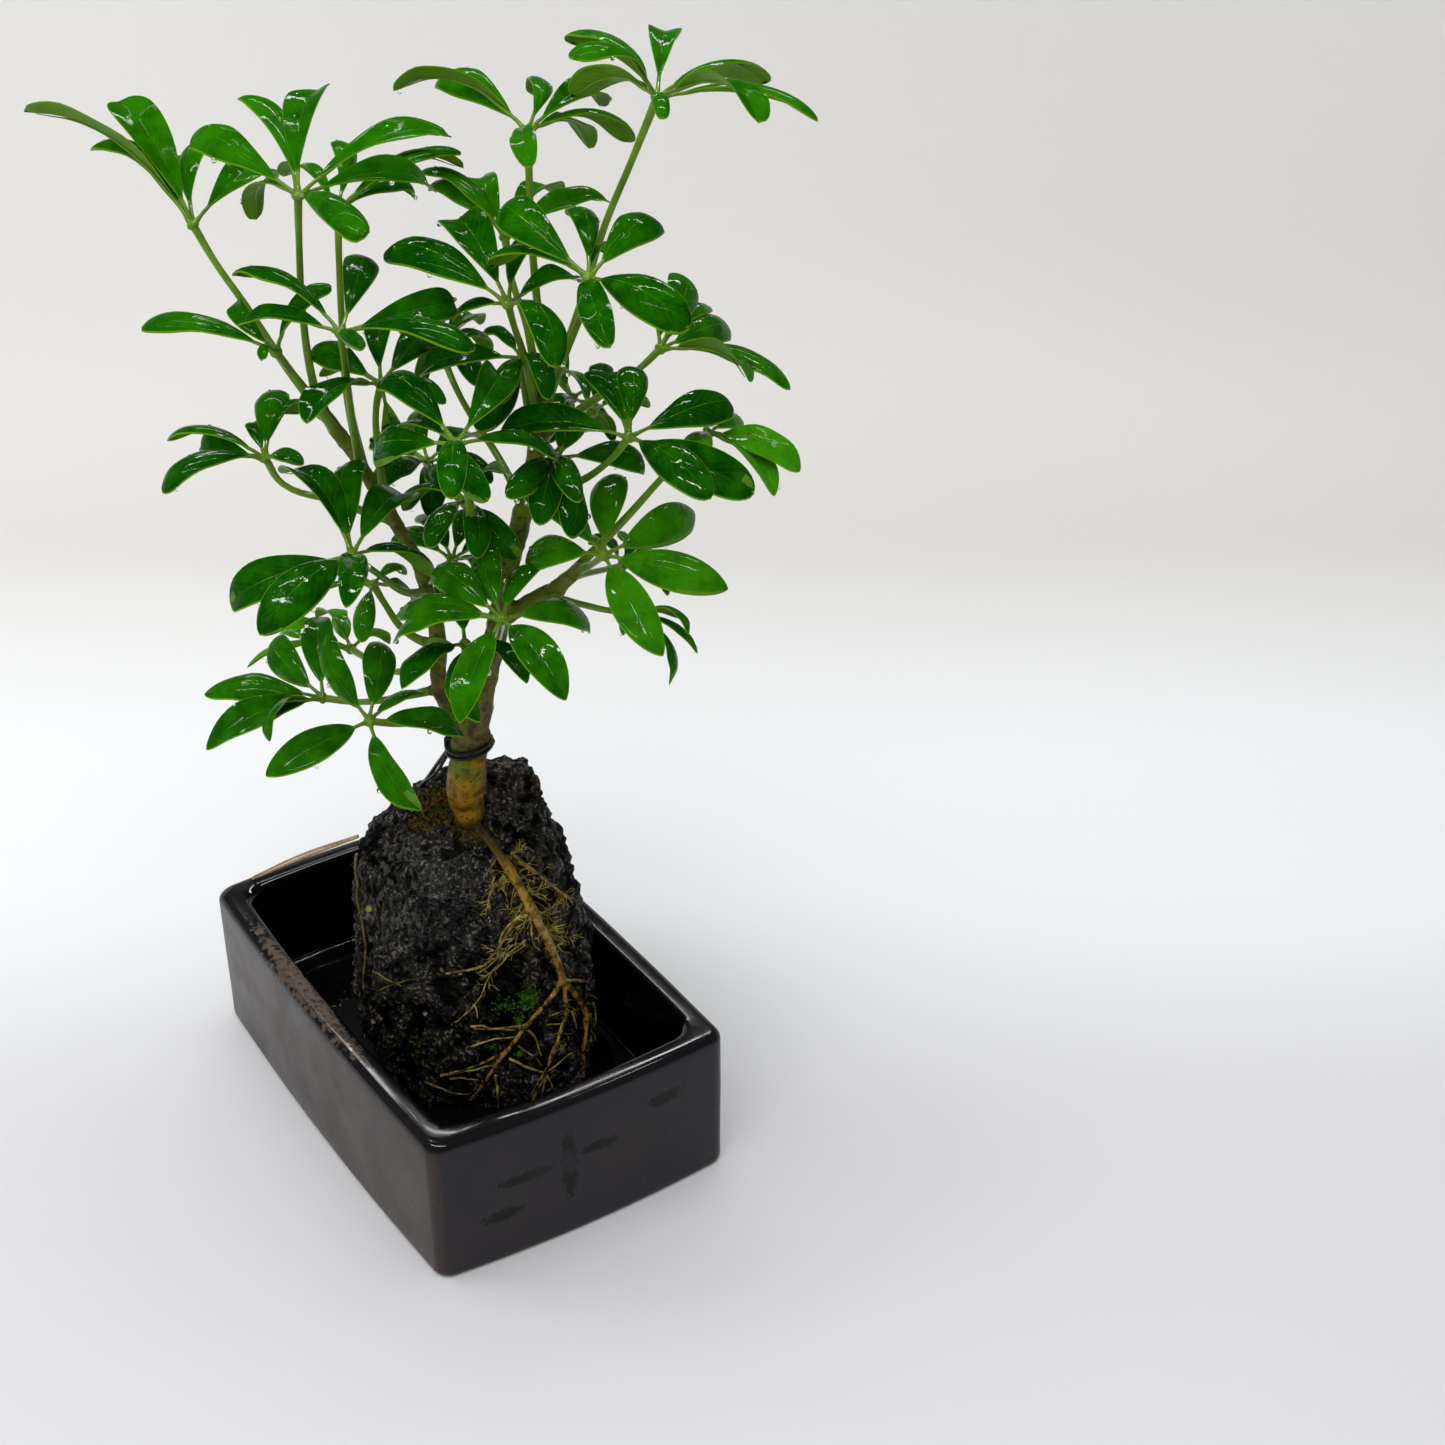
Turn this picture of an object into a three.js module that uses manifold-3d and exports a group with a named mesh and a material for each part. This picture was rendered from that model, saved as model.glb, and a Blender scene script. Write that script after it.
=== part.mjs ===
/**
 * Root over rock bonsai: a dwarf umbrella tree whose roots clasp a lava rock in a tray of water.
 * Millimetres, +Z up. The origin is the middle of the tray's underside and X runs along the tray.
 *
 * The tree is drawn after a photograph. Its places are read there in pixels, and each gets a depth:
 * how many millimetres it stands in front of the upright plane through the tray's middle.
 */
import * as THREE from "three";
import { mergeVertices } from "three/addons/utils/BufferGeometryUtils.js";
import Module from "manifold-3d";

const wasm = await Module();
wasm.setup();

const GAP = 0.35;
const UP = new THREE.Vector3(0, 0, 1);

// The tray: outer size, wall, floor, and how far the long and short sides bow out in the middle. One
// corner of this hand-made tray stands out a little more than the others.
const TRAY = {
  length: 180,
  width: 112.4,
  height: 57.8,
  wall: 9,
  floor: 8,
  corner: 5,
  innerCorner: 9,
  bowLong: 2.5,
  bowShort: 3.3,
  proudCorner: [0.6, 2.4],
};
const WATER_LEVEL = 18;

// The photograph as a measured view: focal length and middle in pixels, the camera in degrees and
// millimetres. The tray's edges fix all of it.
const VIEW = {
  focal: 2300,
  middle: 722.5,
  azimuth: THREE.MathUtils.degToRad(56.66),
  elevation: THREE.MathUtils.degToRad(30.39),
  right: 97.6,
  up: 135.9,
  distance: 870.2,
};

// The rock's outline at each height, across the view and along it, in millimetres.
const ROCK_ROWS = [
  { z: TRAY.floor + GAP, left: -27, right: 44, front: 33, back: -25 },
  { z: 20, left: -30, right: 48.5, front: 37, back: -28 },
  { z: 31, left: -32, right: 50.5, front: 38, back: -30 },
  { z: 42, left: -33.5, right: 51, front: 38, back: -30 },
  { z: 53, left: -35, right: 50.5, front: 37, back: -30 },
  { z: 64, left: -36, right: 49.5, front: 36, back: -30 },
  { z: 75, left: -34.5, right: 47.5, front: 34, back: -30 },
  { z: 86, left: -33, right: 45.5, front: 32, back: -29 },
  { z: 96, left: -32.5, right: 42.5, front: 30, back: -28 },
  { z: 104, left: -33, right: 39.5, front: 27, back: -27 },
  { z: 109, left: -30.5, right: 36.5, front: 21, back: -26 },
  { z: 114, left: -22, right: 34.5, front: 9, back: -25 },
  { z: 122, left: -12.5, right: 33, front: 5, back: -23 },
  { z: 129, left: -3, right: 32.5, front: 1, back: -19 },
  { z: 135, left: 8, right: 31.5, front: -3, back: -16 },
];
const ROCK_SIDES = 36;
const ROCK_SQUARENESS = 2.5;
const ROCK_RELIEF = 1.8;

// Trunk and branches: pixel x, pixel y, depth and radius at each station.
const LIMBS = {
  trunk: [
    [471, 824, 6, 3.8],
    [469, 811, 7, 5.3],
    [466, 792, 8, 6.7],
    [467, 776, 9, 6.7],
    [468, 758, 10, 6.1],
    [469, 744, 11, 6.5],
    [474, 718, 12, 5.6],
    [484, 680, 12, 4.4],
    [496, 632, 12, 3.8],
    [512, 555, 10, 3.3],
    [528, 490, 8, 3.0],
    [540, 430, 7, 2.7],
    [549, 368, 6, 2.5],
  ],
  leftLeader: [
    [470, 722, 12, 3.8],
    [450, 704, 13, 3.6],
    [440, 682, 13, 3.0],
    [438, 640, 11, 2.6],
    [424, 580, 8, 2.4],
    [394, 520, 6, 2.3],
    [350, 450, 4, 2.2],
    [312, 398, 2, 2.1],
  ],
  rightBranch: [
    [500, 622, 12, 2.8],
    [528, 603, 12, 2.6],
    [556, 588, 14, 2.5],
    [578, 570, 18, 2.2],
  ],
  centreTwig: [
    [508, 574, 10, 2.3],
    [486, 548, 16, 2.0],
    [471, 512, 24, 1.7],
  ],
};

/**
 * The compound leaves. hub and tips are pixels, depth is the hub's, reach is the length of a whole
 * leaflet with its stalk. petiole lists pixels from the hub down, and its last entry is the foot on
 * the wood with its depth. A tip's third value is a leaflet's size against reach: positive leans it
 * toward the viewer, negative away. Without it the leaflet takes the side that suits its droop.
 */
const LEAVES = [
  {
    name: "crown_right",
    hub: [657, 98], depth: 10, reach: 50, droop: 0.1,
    petiole: [[632, 160], [605, 225], [582, 300], [565, 350], [546, 394, 7]],
    tips: [[571, 40], [574, 55, 0.9], [572, 94], [667, 38], [767, 80], [819, 119], [761, 118], [663, 116, 0.55]],
  },
  {
    name: "crown_middle",
    hub: [528, 131], depth: -20, reach: 44, droop: 0.1,
    petiole: [[530, 200], [537, 300], [548, 372, 5]],
    tips: [[391, 84], [440, 76], [533, 88], [602, 100], [633, 138], [590, 145], [531, 165]],
  },
  {
    name: "crown_left_front",
    hub: [298, 196], depth: 20, reach: 48, droop: 0.1,
    petiole: [[299, 240], [303, 317], [313, 382], [323, 414, 3]],
    tips: [[194, 132], [248, 97], [318, 87], [450, 132], [432, 185], [364, 236], [254, 215]],
  },
  {
    name: "crown_left_back",
    hub: [338, 211], depth: -28, reach: 44, droop: 0.1,
    petiole: [[339, 260], [343, 340], [348, 400], [365, 475, 5]],
    tips: [[461, 150], [465, 162], [412, 190, -0.9], [340, 143, -0.9], [283, 172]],
  },
  {
    name: "far_left_high",
    hub: [193, 225], depth: -12, reach: 50, droop: 0.05,
    petiole: [[215, 262], [246, 306], [283, 362], [313, 401, 2]],
    tips: [[24, 108], [95, 144], [118, 99], [180, 165], [215, 142], [268, 172]],
  },
  {
    name: "left_upper",
    hub: [276, 352], depth: 22, reach: 42, droop: 0.12,
    petiole: [[296, 378], [342, 440, 4]],
    tips: [[141, 325], [233, 299, -0.6], [330, 281, 0.68], [262, 356, 0.5]],
  },
  {
    name: "left_inner",
    hub: [341, 333], depth: 40, reach: 46, droop: 0.12,
    petiole: [[347, 380], [352, 420], [360, 464, 5]],
    tips: [[236, 272], [240, 323, -0.78], [364, 257], [456, 303, -0.85], [474, 349], [363, 346, 0.55]],
  },
  {
    name: "centre_high",
    hub: [508, 304], depth: 26, reach: 46, droop: 0.15,
    petiole: [[514, 326], [524, 356], [538, 420, 7]],
    tips: [[384, 248], [452, 217], [454, 322, -0.6], [545, 232, -0.75], [580, 278, -0.7], [557, 364]],
  },
  {
    name: "right_high",
    hub: [589, 278], depth: 46, reach: 42, droop: 0.15,
    petiole: [[584, 306], [566, 352], [546, 404, 8]],
    tips: [[500, 203], [490, 263], [574, 211], [655, 221], [608, 248, -0.6], [689, 327], [609, 345]],
  },
  {
    name: "right_upper",
    hub: [660, 349], depth: -10, reach: 40, droop: 0.1,
    petiole: [[640, 368], [600, 396], [539, 436, 7]],
    tips: [[630, 293], [681, 276], [729, 328], [792, 387], [751, 379], [708, 308]],
  },
  {
    name: "centre_back_high",
    hub: [505, 237], depth: -30, reach: 40, droop: 0.1,
    petiole: [[512, 280], [528, 330], [541, 428, 6]],
    tips: [[424, 168], [433, 183], [478, 179], [608, 199], [560, 190]],
  },
  {
    name: "centre_front",
    hub: [457, 444], depth: 64, reach: 40, droop: 0.2,
    petiole: [[462, 470], [468, 495], [473, 520, 23]],
    tips: [[381, 377], [406, 435], [376, 455], [451, 495], [559, 459], [502, 371], [486, 500, 0.7]],
  },
  {
    name: "centre_right",
    hub: [557, 458], depth: 22, reach: 36, droop: 0.2,
    petiole: [[550, 470], [531, 482, 8]],
    tips: [[507, 495], [539, 523], [579, 499], [572, 537], [648, 467], [580, 414, -0.55]],
  },
  {
    name: "right_middle",
    hub: [629, 437], depth: 34, reach: 42, droop: 0.15,
    petiole: [[608, 462], [572, 485], [527, 496, 8]],
    tips: [[495, 437], [588, 370, -0.75], [614, 372, -0.75], [631, 365, -0.75], [735, 404], [756, 493], [711, 497]],
  },
  {
    name: "right_young",
    hub: [708, 432], depth: 8, reach: 34, droop: 0.05,
    petiole: [[690, 448], [660, 480], [624, 520], [556, 588, 14]],
    tips: [[681, 461, 0.8], [702, 467, 0.8], [776, 494], [802, 469], [738, 425]],
  },
  {
    name: "left_centre",
    hub: [381, 384], depth: 20, reach: 42, droop: 0.2,
    petiole: [[376, 410], [378, 450], [386, 508, 6]],
    tips: [[311, 347, -0.75], [320, 373, -0.65], [306, 421], [386, 328], [430, 337], [392, 458, -0.7], [447, 400, 0.6]],
  },
  {
    name: "centre_back",
    hub: [440, 350], depth: -34, reach: 38, droop: 0.15,
    petiole: [[462, 400], [500, 460], [524, 508, 9]],
    tips: [[402, 330], [480, 320], [490, 352], [420, 382, -0.7], [452, 300]],
  },
  {
    name: "left_low",
    hub: [265, 458], depth: 8, reach: 36, droop: 0.15,
    petiole: [[283, 484], [330, 500], [396, 522, 6]],
    tips: [[167, 437], [158, 489], [197, 453], [277, 390], [306, 405], [253, 420, -0.6], [303, 462, 0.6]],
  },
  {
    name: "left_front",
    hub: [352, 555], depth: 50, reach: 44, droop: 0.25,
    petiole: [[378, 574], [405, 592], [428, 592, 9]],
    tips: [[281, 467], [354, 459], [411, 496], [431, 574], [346, 605], [258, 633], [226, 606]],
  },
  {
    name: "centre_low",
    hub: [502, 619], depth: 52, reach: 38, droop: 0.2,
    petiole: [[500, 632], [494, 646, 12]],
    tips: [[486, 540], [542, 566], [433, 568], [390, 640], [394, 614], [593, 629], [567, 699], [459, 722]],
  },
  {
    name: "centre_lowest",
    hub: [465, 644], depth: 30, reach: 34, droop: 0.3,
    petiole: [[468, 664], [484, 676, 13]],
    tips: [[400, 686], [478, 722], [528, 681], [452, 580]],
  },
  {
    name: "low_front",
    hub: [369, 721], depth: 42, reach: 34, droop: 0.2,
    petiole: [[400, 724], [440, 720], [464, 716, 15]],
    tips: [[325, 633], [380, 638], [425, 693, -0.8], [465, 735], [421, 812], [265, 775]],
  },
  {
    name: "low_left",
    hub: [323, 698], depth: 8, reach: 38, droop: 0.2,
    petiole: [[360, 702], [400, 697], [441, 688, 13]],
    tips: [[203, 693], [204, 748], [266, 739], [274, 637], [318, 615]],
  },
  {
    name: "low_back",
    hub: [351, 649], depth: -26, reach: 30, droop: 0.15,
    petiole: [[370, 660], [400, 672], [438, 660, 12]],
    tips: [[246, 665], [278, 631], [342, 611], [316, 612], [390, 640]],
  },
  {
    name: "left_under",
    hub: [373, 584], depth: 6, reach: 26, droop: 0.25,
    petiole: [[385, 604], [404, 630], [437, 648, 11]],
    tips: [[416, 603], [362, 641], [405, 571], [323, 578], [296, 612]],
  },
  {
    name: "right_front",
    hub: [604, 555], depth: 40, reach: 42, droop: 0.15,
    petiole: [[592, 564], [577, 571, 18]],
    tips: [[523, 492, -0.75], [616, 473], [696, 511], [526, 561], [729, 588], [663, 655]],
  },
  {
    name: "right_low",
    hub: [634, 612], depth: -14, reach: 26, droop: 0.2,
    petiole: [[612, 611], [580, 604], [556, 599], [529, 603, 12]],
    tips: [[622, 633, 0.6], [693, 631], [699, 652], [674, 685]],
  },
  {
    name: "right_back",
    hub: [622, 566], depth: -40, reach: 30, droop: 0.2,
    petiole: [[603, 570], [575, 577], [557, 588, 14]],
    tips: [[620, 535], [668, 592], [652, 556], [590, 540]],
  },
  {
    name: "centre_inner",
    hub: [522, 358], depth: 5, reach: 36, droop: 0.2,
    petiole: [[526, 400], [536, 446, 7]],
    tips: [[416, 373], [478, 430], [486, 330, -0.7]],
  },
  {
    name: "back_left",
    hub: [428, 462], depth: -44, reach: 36, droop: 0.15,
    petiole: [[450, 490], [488, 530], [512, 552, 10]],
    tips: [[372, 440], [420, 410], [478, 436], [492, 480], [430, 516], [374, 486]],
  },
  {
    name: "right_inner",
    hub: [592, 412], depth: -14, reach: 34, droop: 0.2,
    petiole: [[572, 436], [530, 484, 8]],
    tips: [[548, 372], [648, 404], [560, 446, 0.8], [614, 438, -0.7], [604, 364, -0.9]],
  },
  {
    name: "centre_low_back",
    hub: [452, 560], depth: -18, reach: 34, droop: 0.2,
    petiole: [[474, 584], [506, 588, 11]],
    tips: [[394, 540], [512, 548], [470, 512], [420, 516], [438, 596, 0.45]],
  },
  {
    name: "back_right",
    hub: [572, 398], depth: -40, reach: 34, droop: 0.15,
    petiole: [[560, 420], [534, 452, 8]],
    tips: [[520, 384], [556, 346, -0.9], [622, 384, -0.8], [610, 432, -0.8], [548, 440]],
  },
  {
    name: "centre_under",
    hub: [465, 500], depth: 8, reach: 32, droop: 0.2,
    petiole: [[480, 530], [500, 560], [511, 562, 10]],
    tips: [[402, 506], [429, 546], [430, 470], [520, 560, 0.9]],
  },
];

// A leaflet: its stalk, width and arch against its length, how far its rib stands up, and its outline
// as half width against place along the blade.
const LEAFLET = {
  stalk: 0.14,
  width: 0.325,
  leastHalfWidth: 0.7,
  rib: 1.25,
  arch: 0.14,
  outline: [
    [0.0, 0.06],
    [0.25, 0.74],
    [0.56, 1.0],
    [0.88, 0.62],
  ],
};
const PETIOLE_RADIUS = 1.1;
const PETIOLE_SIDES = 5;
const HUB_RADIUS = 2.4;
const LIMB_SIDES = 7;
const ROOT_SIDES = 5;

// The roots that run down the rock: pixels along each, and its radius at both ends. The first one
// grows from a place in the trunk's foot.
const ROOTS = [
  { radius: [3.0, 1.7], from: [469, 806, 8], path: [[473, 818], [481, 827], [498, 850], [510, 870], [523, 894], [539, 923], [552, 950], [563, 981]] },
  { radius: [1.6, 1.0], path: [[563, 979], [552, 996], [526, 1025], [497, 1064], [470, 1100]] },
  { radius: [1.5, 1.0], path: [[562, 977], [578, 996], [587, 1017], [581, 1054], [583, 1078]] },
  { radius: [1.3, 0.9], path: [[562, 980], [567, 1012], [555, 1049], [544, 1075], [531, 1102]] },
  { radius: [1.2, 0.9], path: [[494, 852], [520, 862], [542, 878], [566, 899]] },
  { radius: [1.1, 0.8], path: [[528, 905], [508, 928], [489, 965], [462, 972], [444, 973]] },
  { radius: [1.0, 0.8], path: [[526, 1025], [500, 1029], [472, 1027]] },
  { radius: [1.0, 0.8], path: [[507, 1050], [476, 1066], [443, 1074]] },
];
const ROOT_STEP = 10;
const ROOT_LIFT = 1.05;

// The tie wire: its gauge, the place on the trunk that it winds round with its depth and the trunk's
// radius there, its turns, how far they tilt, and its tail to the rock.
const TIE = {
  radius: 0.7,
  axis: [469, 745],
  depth: 11,
  trunkRadius: 6.9,
  turns: 2.25,
  pitch: 2.0,
  tilt: 1.6,
  stepsPerTurn: 10,
  sides: 5,
  tail: [422, 787],
};

const SIDEWAYS = new THREE.Vector3(Math.cos(VIEW.azimuth), Math.sin(VIEW.azimuth), 0);
const TOWARD = new THREE.Vector3(Math.sin(VIEW.azimuth), -Math.cos(VIEW.azimuth), 0);
const BACKWARD = TOWARD.clone().multiplyScalar(Math.cos(VIEW.elevation));
BACKWARD.z = Math.sin(VIEW.elevation);
const UPWARD = new THREE.Vector3().crossVectors(BACKWARD, SIDEWAYS);
const EYE = new THREE.Vector3()
  .addScaledVector(SIDEWAYS, VIEW.right)
  .addScaledVector(UPWARD, VIEW.up)
  .addScaledVector(BACKWARD, VIEW.distance);

/** The direction from the camera through a pixel. */
function sight([x, y]) {
  return new THREE.Vector3()
    .addScaledVector(SIDEWAYS, (x - VIEW.middle) / VIEW.focal)
    .addScaledVector(UPWARD, (VIEW.middle - y) / VIEW.focal)
    .sub(BACKWARD)
    .normalize();
}

/** The point behind a pixel that stands at a depth in front of the tray's middle. */
function place(pixel, depth) {
  const direction = sight(pixel);
  const distance = (depth - EYE.dot(TOWARD)) / direction.dot(TOWARD);
  return EYE.clone().addScaledVector(direction, distance);
}

/** A closed geometry from triangles over a list of points. */
function meshOf(points, triangles) {
  const geometry = new THREE.BufferGeometry();
  geometry.setAttribute("position", new THREE.Float32BufferAttribute(points.flatMap((p) => p.toArray()), 3));
  geometry.setIndex(triangles.flat());
  return geometry;
}

/** A closed loft through rings of equal count, with a flat fan over each end. */
function loft(rings) {
  const sides = rings[0].length;
  const points = rings.flat();
  const triangles = [];
  for (let level = 0; level + 1 < rings.length; level += 1) {
    for (let side = 0; side < sides; side += 1) {
      const here = level * sides + side;
      const next = level * sides + ((side + 1) % sides);
      triangles.push([here, next, next + sides], [here, next + sides, here + sides]);
    }
  }
  const last = (rings.length - 1) * sides;
  for (let side = 1; side + 1 < sides; side += 1) {
    triangles.push([0, side + 1, side], [last, last + side, last + side + 1]);
  }
  return meshOf(points, triangles);
}

/** A solid from a closed geometry, for joining and cutting. */
function solid(geometry) {
  const bare = geometry.clone();
  bare.deleteAttribute("normal");
  bare.deleteAttribute("uv");
  const merged = mergeVertices(bare, 1e-4);
  const vertProperties = new Float32Array(merged.attributes.position.array);
  const triVerts = new Uint32Array(merged.index.array);
  const body = new wasm.Manifold(new wasm.Mesh({ numProp: 3, vertProperties, triVerts }));
  return body.volume() < 0 ? flipped(vertProperties, triVerts) : body;
}

/** The same solid with its faces turned to point out. */
function flipped(vertProperties, triVerts) {
  const turned = triVerts.slice();
  for (let corner = 0; corner < turned.length; corner += 3) {
    [turned[corner + 1], turned[corner + 2]] = [turned[corner + 2], turned[corner + 1]];
  }
  return new wasm.Manifold(new wasm.Mesh({ numProp: 3, vertProperties, triVerts: turned }));
}

/** All the given solids joined. */
function joined(solids) {
  return solids.reduce((whole, next) => whole.add(next));
}

/** The largest of a solid's separate bodies, with loose scraps dropped. */
function largest(body) {
  return body.decompose().reduce((a, b) => (a.volume() > b.volume() ? a : b));
}

/** A geometry from a solid. */
function geometryOf(body) {
  const { vertProperties, triVerts } = body.getMesh();
  const geometry = new THREE.BufferGeometry();
  geometry.setAttribute("position", new THREE.BufferAttribute(vertProperties, 3));
  geometry.setIndex(new THREE.BufferAttribute(triVerts, 1));
  geometry.computeVertexNormals();
  return geometry;
}

/** A round limb along a smooth path, with its radius given at each point of the path. */
function limb(points, radii, sides, steps) {
  const curve = new THREE.CatmullRomCurve3(points, false, "centripetal");
  const frames = curve.computeFrenetFrames(steps, false);
  const rings = [];
  for (let step = 0; step <= steps; step += 1) {
    const share = step / steps;
    const centre = curve.getPointAt(share);
    const station = curve.getUtoTmapping(share) * (radii.length - 1);
    const low = Math.min(Math.floor(station), radii.length - 2);
    const radius = THREE.MathUtils.lerp(radii[low], radii[low + 1], station - low);
    const ring = [];
    for (let side = 0; side < sides; side += 1) {
      const turn = (2 * Math.PI * side) / sides;
      ring.push(
        centre
          .clone()
          .addScaledVector(frames.normals[step], radius * Math.cos(turn))
          .addScaledVector(frames.binormals[step], radius * Math.sin(turn)),
      );
    }
    rings.push(ring);
  }
  return solid(loft(rings));
}

/** The tray's plan outline, drawn in by inset at a height. */
function trayOutline(inset, z) {
  const halfLength = TRAY.length / 2 - inset;
  const halfWidth = TRAY.width / 2 - inset;
  const radius = THREE.MathUtils.lerp(TRAY.corner, TRAY.innerCorner, Math.min(inset / TRAY.wall, 1));
  const arcSteps = 4;
  const sideSteps = 4;
  const points = [];
  for (let corner = 0; corner < 4; corner += 1) {
    const signX = corner === 0 || corner === 3 ? 1 : -1;
    const signY = corner < 2 ? 1 : -1;
    for (let step = 0; step <= arcSteps; step += 1) {
      const turn = (Math.PI / 2) * (corner + step / arcSteps);
      const x = signX * (halfLength - radius) + radius * Math.cos(turn);
      const y = signY * (halfWidth - radius) + radius * Math.sin(turn);
      points.push(new THREE.Vector3(x, y, z));
    }
    const alongX = corner % 2 === 0;
    const span = alongX ? halfLength - radius : halfWidth - radius;
    for (let step = 1; step < sideSteps; step += 1) {
      const share = 1 - (2 * step) / sideSteps;
      const x = alongX ? signX * span * share : signX * halfLength;
      const y = alongX ? signY * halfWidth : signY * span * share;
      points.push(new THREE.Vector3(x, y, z));
    }
  }
  for (const point of points) {
    const bowX = TRAY.bowShort * (1 - (point.y / halfWidth) ** 2);
    const bowY = TRAY.bowLong * (1 - (point.x / halfLength) ** 2);
    const proud = Math.max((1 + point.x / halfLength) / 2, 0) ** 2 * Math.max((1 + point.y / halfWidth) / 2, 0) ** 2;
    point.x += (Math.max(bowX, 0) * point.x) / halfLength + TRAY.proudCorner[0] * proud;
    point.y += (Math.max(bowY, 0) * point.y) / halfWidth + TRAY.proudCorner[1] * proud;
  }
  return points;
}

/** The glazed tray, with soft edges at its foot and rim. */
function makeTray() {
  const { height, wall, floor } = TRAY;
  const profile = [
    [2.2, 0],
    [0.6, 0.7],
    [0, 2.4],
    [0, height - 3],
    [0.9, height - 0.9],
    [3, height],
    [wall - 2.4, height],
    [wall - 0.6, height - 0.8],
    [wall, height - 2.6],
    [wall + 1, floor + 5],
    [wall + 2.4, floor + 1.4],
    [wall + 6, floor],
  ];
  return geometryOf(solid(loft(profile.map(([inset, z]) => trayOutline(inset, z)))));
}

/** The lava rock's rough relief at a point, in millimetres. */
function relief({ x, y, z }) {
  const broad = Math.sin(0.11 * x + 0.7) * Math.sin(0.13 * y - 0.4) * Math.cos(0.09 * z + 0.5);
  const knobs = Math.sin(0.29 * x + 1.9 * Math.sin(0.08 * z)) * Math.sin(0.33 * y + 0.23 * z);
  return ROCK_RELIEF * (0.9 * broad + 0.7 * knobs);
}

/** The rock, grown outward by a clearance where one is given. */
function makeRock(clearance = 0) {
  const rings = ROCK_ROWS.map((row, level) => {
    const middleSide = (row.left + row.right) / 2;
    const middleFront = (row.front + row.back) / 2;
    const ring = [];
    for (let side = 0; side < ROCK_SIDES; side += 1) {
      const turn = (2 * Math.PI * side) / ROCK_SIDES;
      const across = Math.cos(turn);
      const along = Math.sin(turn);
      const spread =
        (Math.abs(across) ** ROCK_SQUARENESS + Math.abs(along) ** ROCK_SQUARENESS) ** (-1 / ROCK_SQUARENESS);
      const point = new THREE.Vector3(0, 0, row.z)
        .addScaledVector(SIDEWAYS, middleSide + (across * spread * (row.right - row.left)) / 2)
        .addScaledVector(TOWARD, middleFront + (along * spread * (row.front - row.back)) / 2);
      const outward = new THREE.Vector3().addScaledVector(SIDEWAYS, across).addScaledVector(TOWARD, along);
      point.addScaledVector(outward, relief(point) + clearance);
      if (level > 0) point.z += 0.6 * relief(point) + clearance;
      ring.push(point);
    }
    return ring;
  });
  return solid(loft(rings));
}

/** A limb of the tree from its stations. */
function woodLimb(stations, grow) {
  const points = stations.map(([x, y, depth]) => place([x, y], depth));
  const radii = stations.map(([, , , radius]) => radius + grow);
  return limb(points, radii, LIMB_SIDES, stations.length + 2);
}

/** A root laid on the rock: it rests on the stone wherever its sight line meets it. */
function rockRoot({ radius, from, path }, stone, grow) {
  const ray = new THREE.Raycaster();
  const trace = new THREE.SplineCurve(path.map(([x, y]) => new THREE.Vector2(x, y)));
  const pixels = trace.getSpacedPoints(Math.ceil(trace.getLength() / ROOT_STEP));
  const hits = pixels.flatMap((pixel) => {
    ray.set(EYE, sight(pixel.toArray()));
    return ray.intersectObject(stone).slice(0, 1);
  });
  const radii = hits.map((_, index) => THREE.MathUtils.lerp(...radius, index / (hits.length - 1)));
  const points = hits.map(({ point, face }, index) =>
    point.clone().addScaledVector(face.normal, ROOT_LIFT * radii[index] + GAP),
  );
  if (from) {
    points.unshift(place(from.slice(0, 2), from[2]));
    radii.unshift(radius[0]);
  }
  return limb(points, radii.map((r) => r + grow), ROOT_SIDES, points.length - 1);
}

/** Trunk, branches and roots as one grown body, with a clearance round it where one is given. */
function makeWood(stone, grow = 0) {
  const limbs = Object.values(LIMBS).map((stations) => woodLimb(stations, grow));
  const roots = ROOTS.map((root) => rockRoot(root, stone, grow));
  return joined([...limbs, ...roots]);
}

/** The tip of a leaflet: the point behind its pixel at the leaflet's length from the hub. */
function leafletTip(hub, [x, y, lean = 0], reach, droop) {
  const direction = sight([x, y]);
  const toHub = hub.clone().sub(EYE);
  const along = toHub.dot(direction);
  const aside = Math.sqrt(toHub.lengthSq() - along ** 2);
  const length = Math.max(reach * (lean === 0 ? 1 : Math.abs(lean)), aside * 1.03);
  const half = Math.sqrt(length ** 2 - aside ** 2);
  const near = EYE.clone().addScaledVector(direction, along - half);
  const far = EYE.clone().addScaledVector(direction, along + half);
  if (lean !== 0) return lean > 0 ? near : far;
  const wanted = hub.z - droop * length;
  return Math.abs(near.z - wanted) < Math.abs(far.z - wanted) ? near : far;
}

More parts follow.
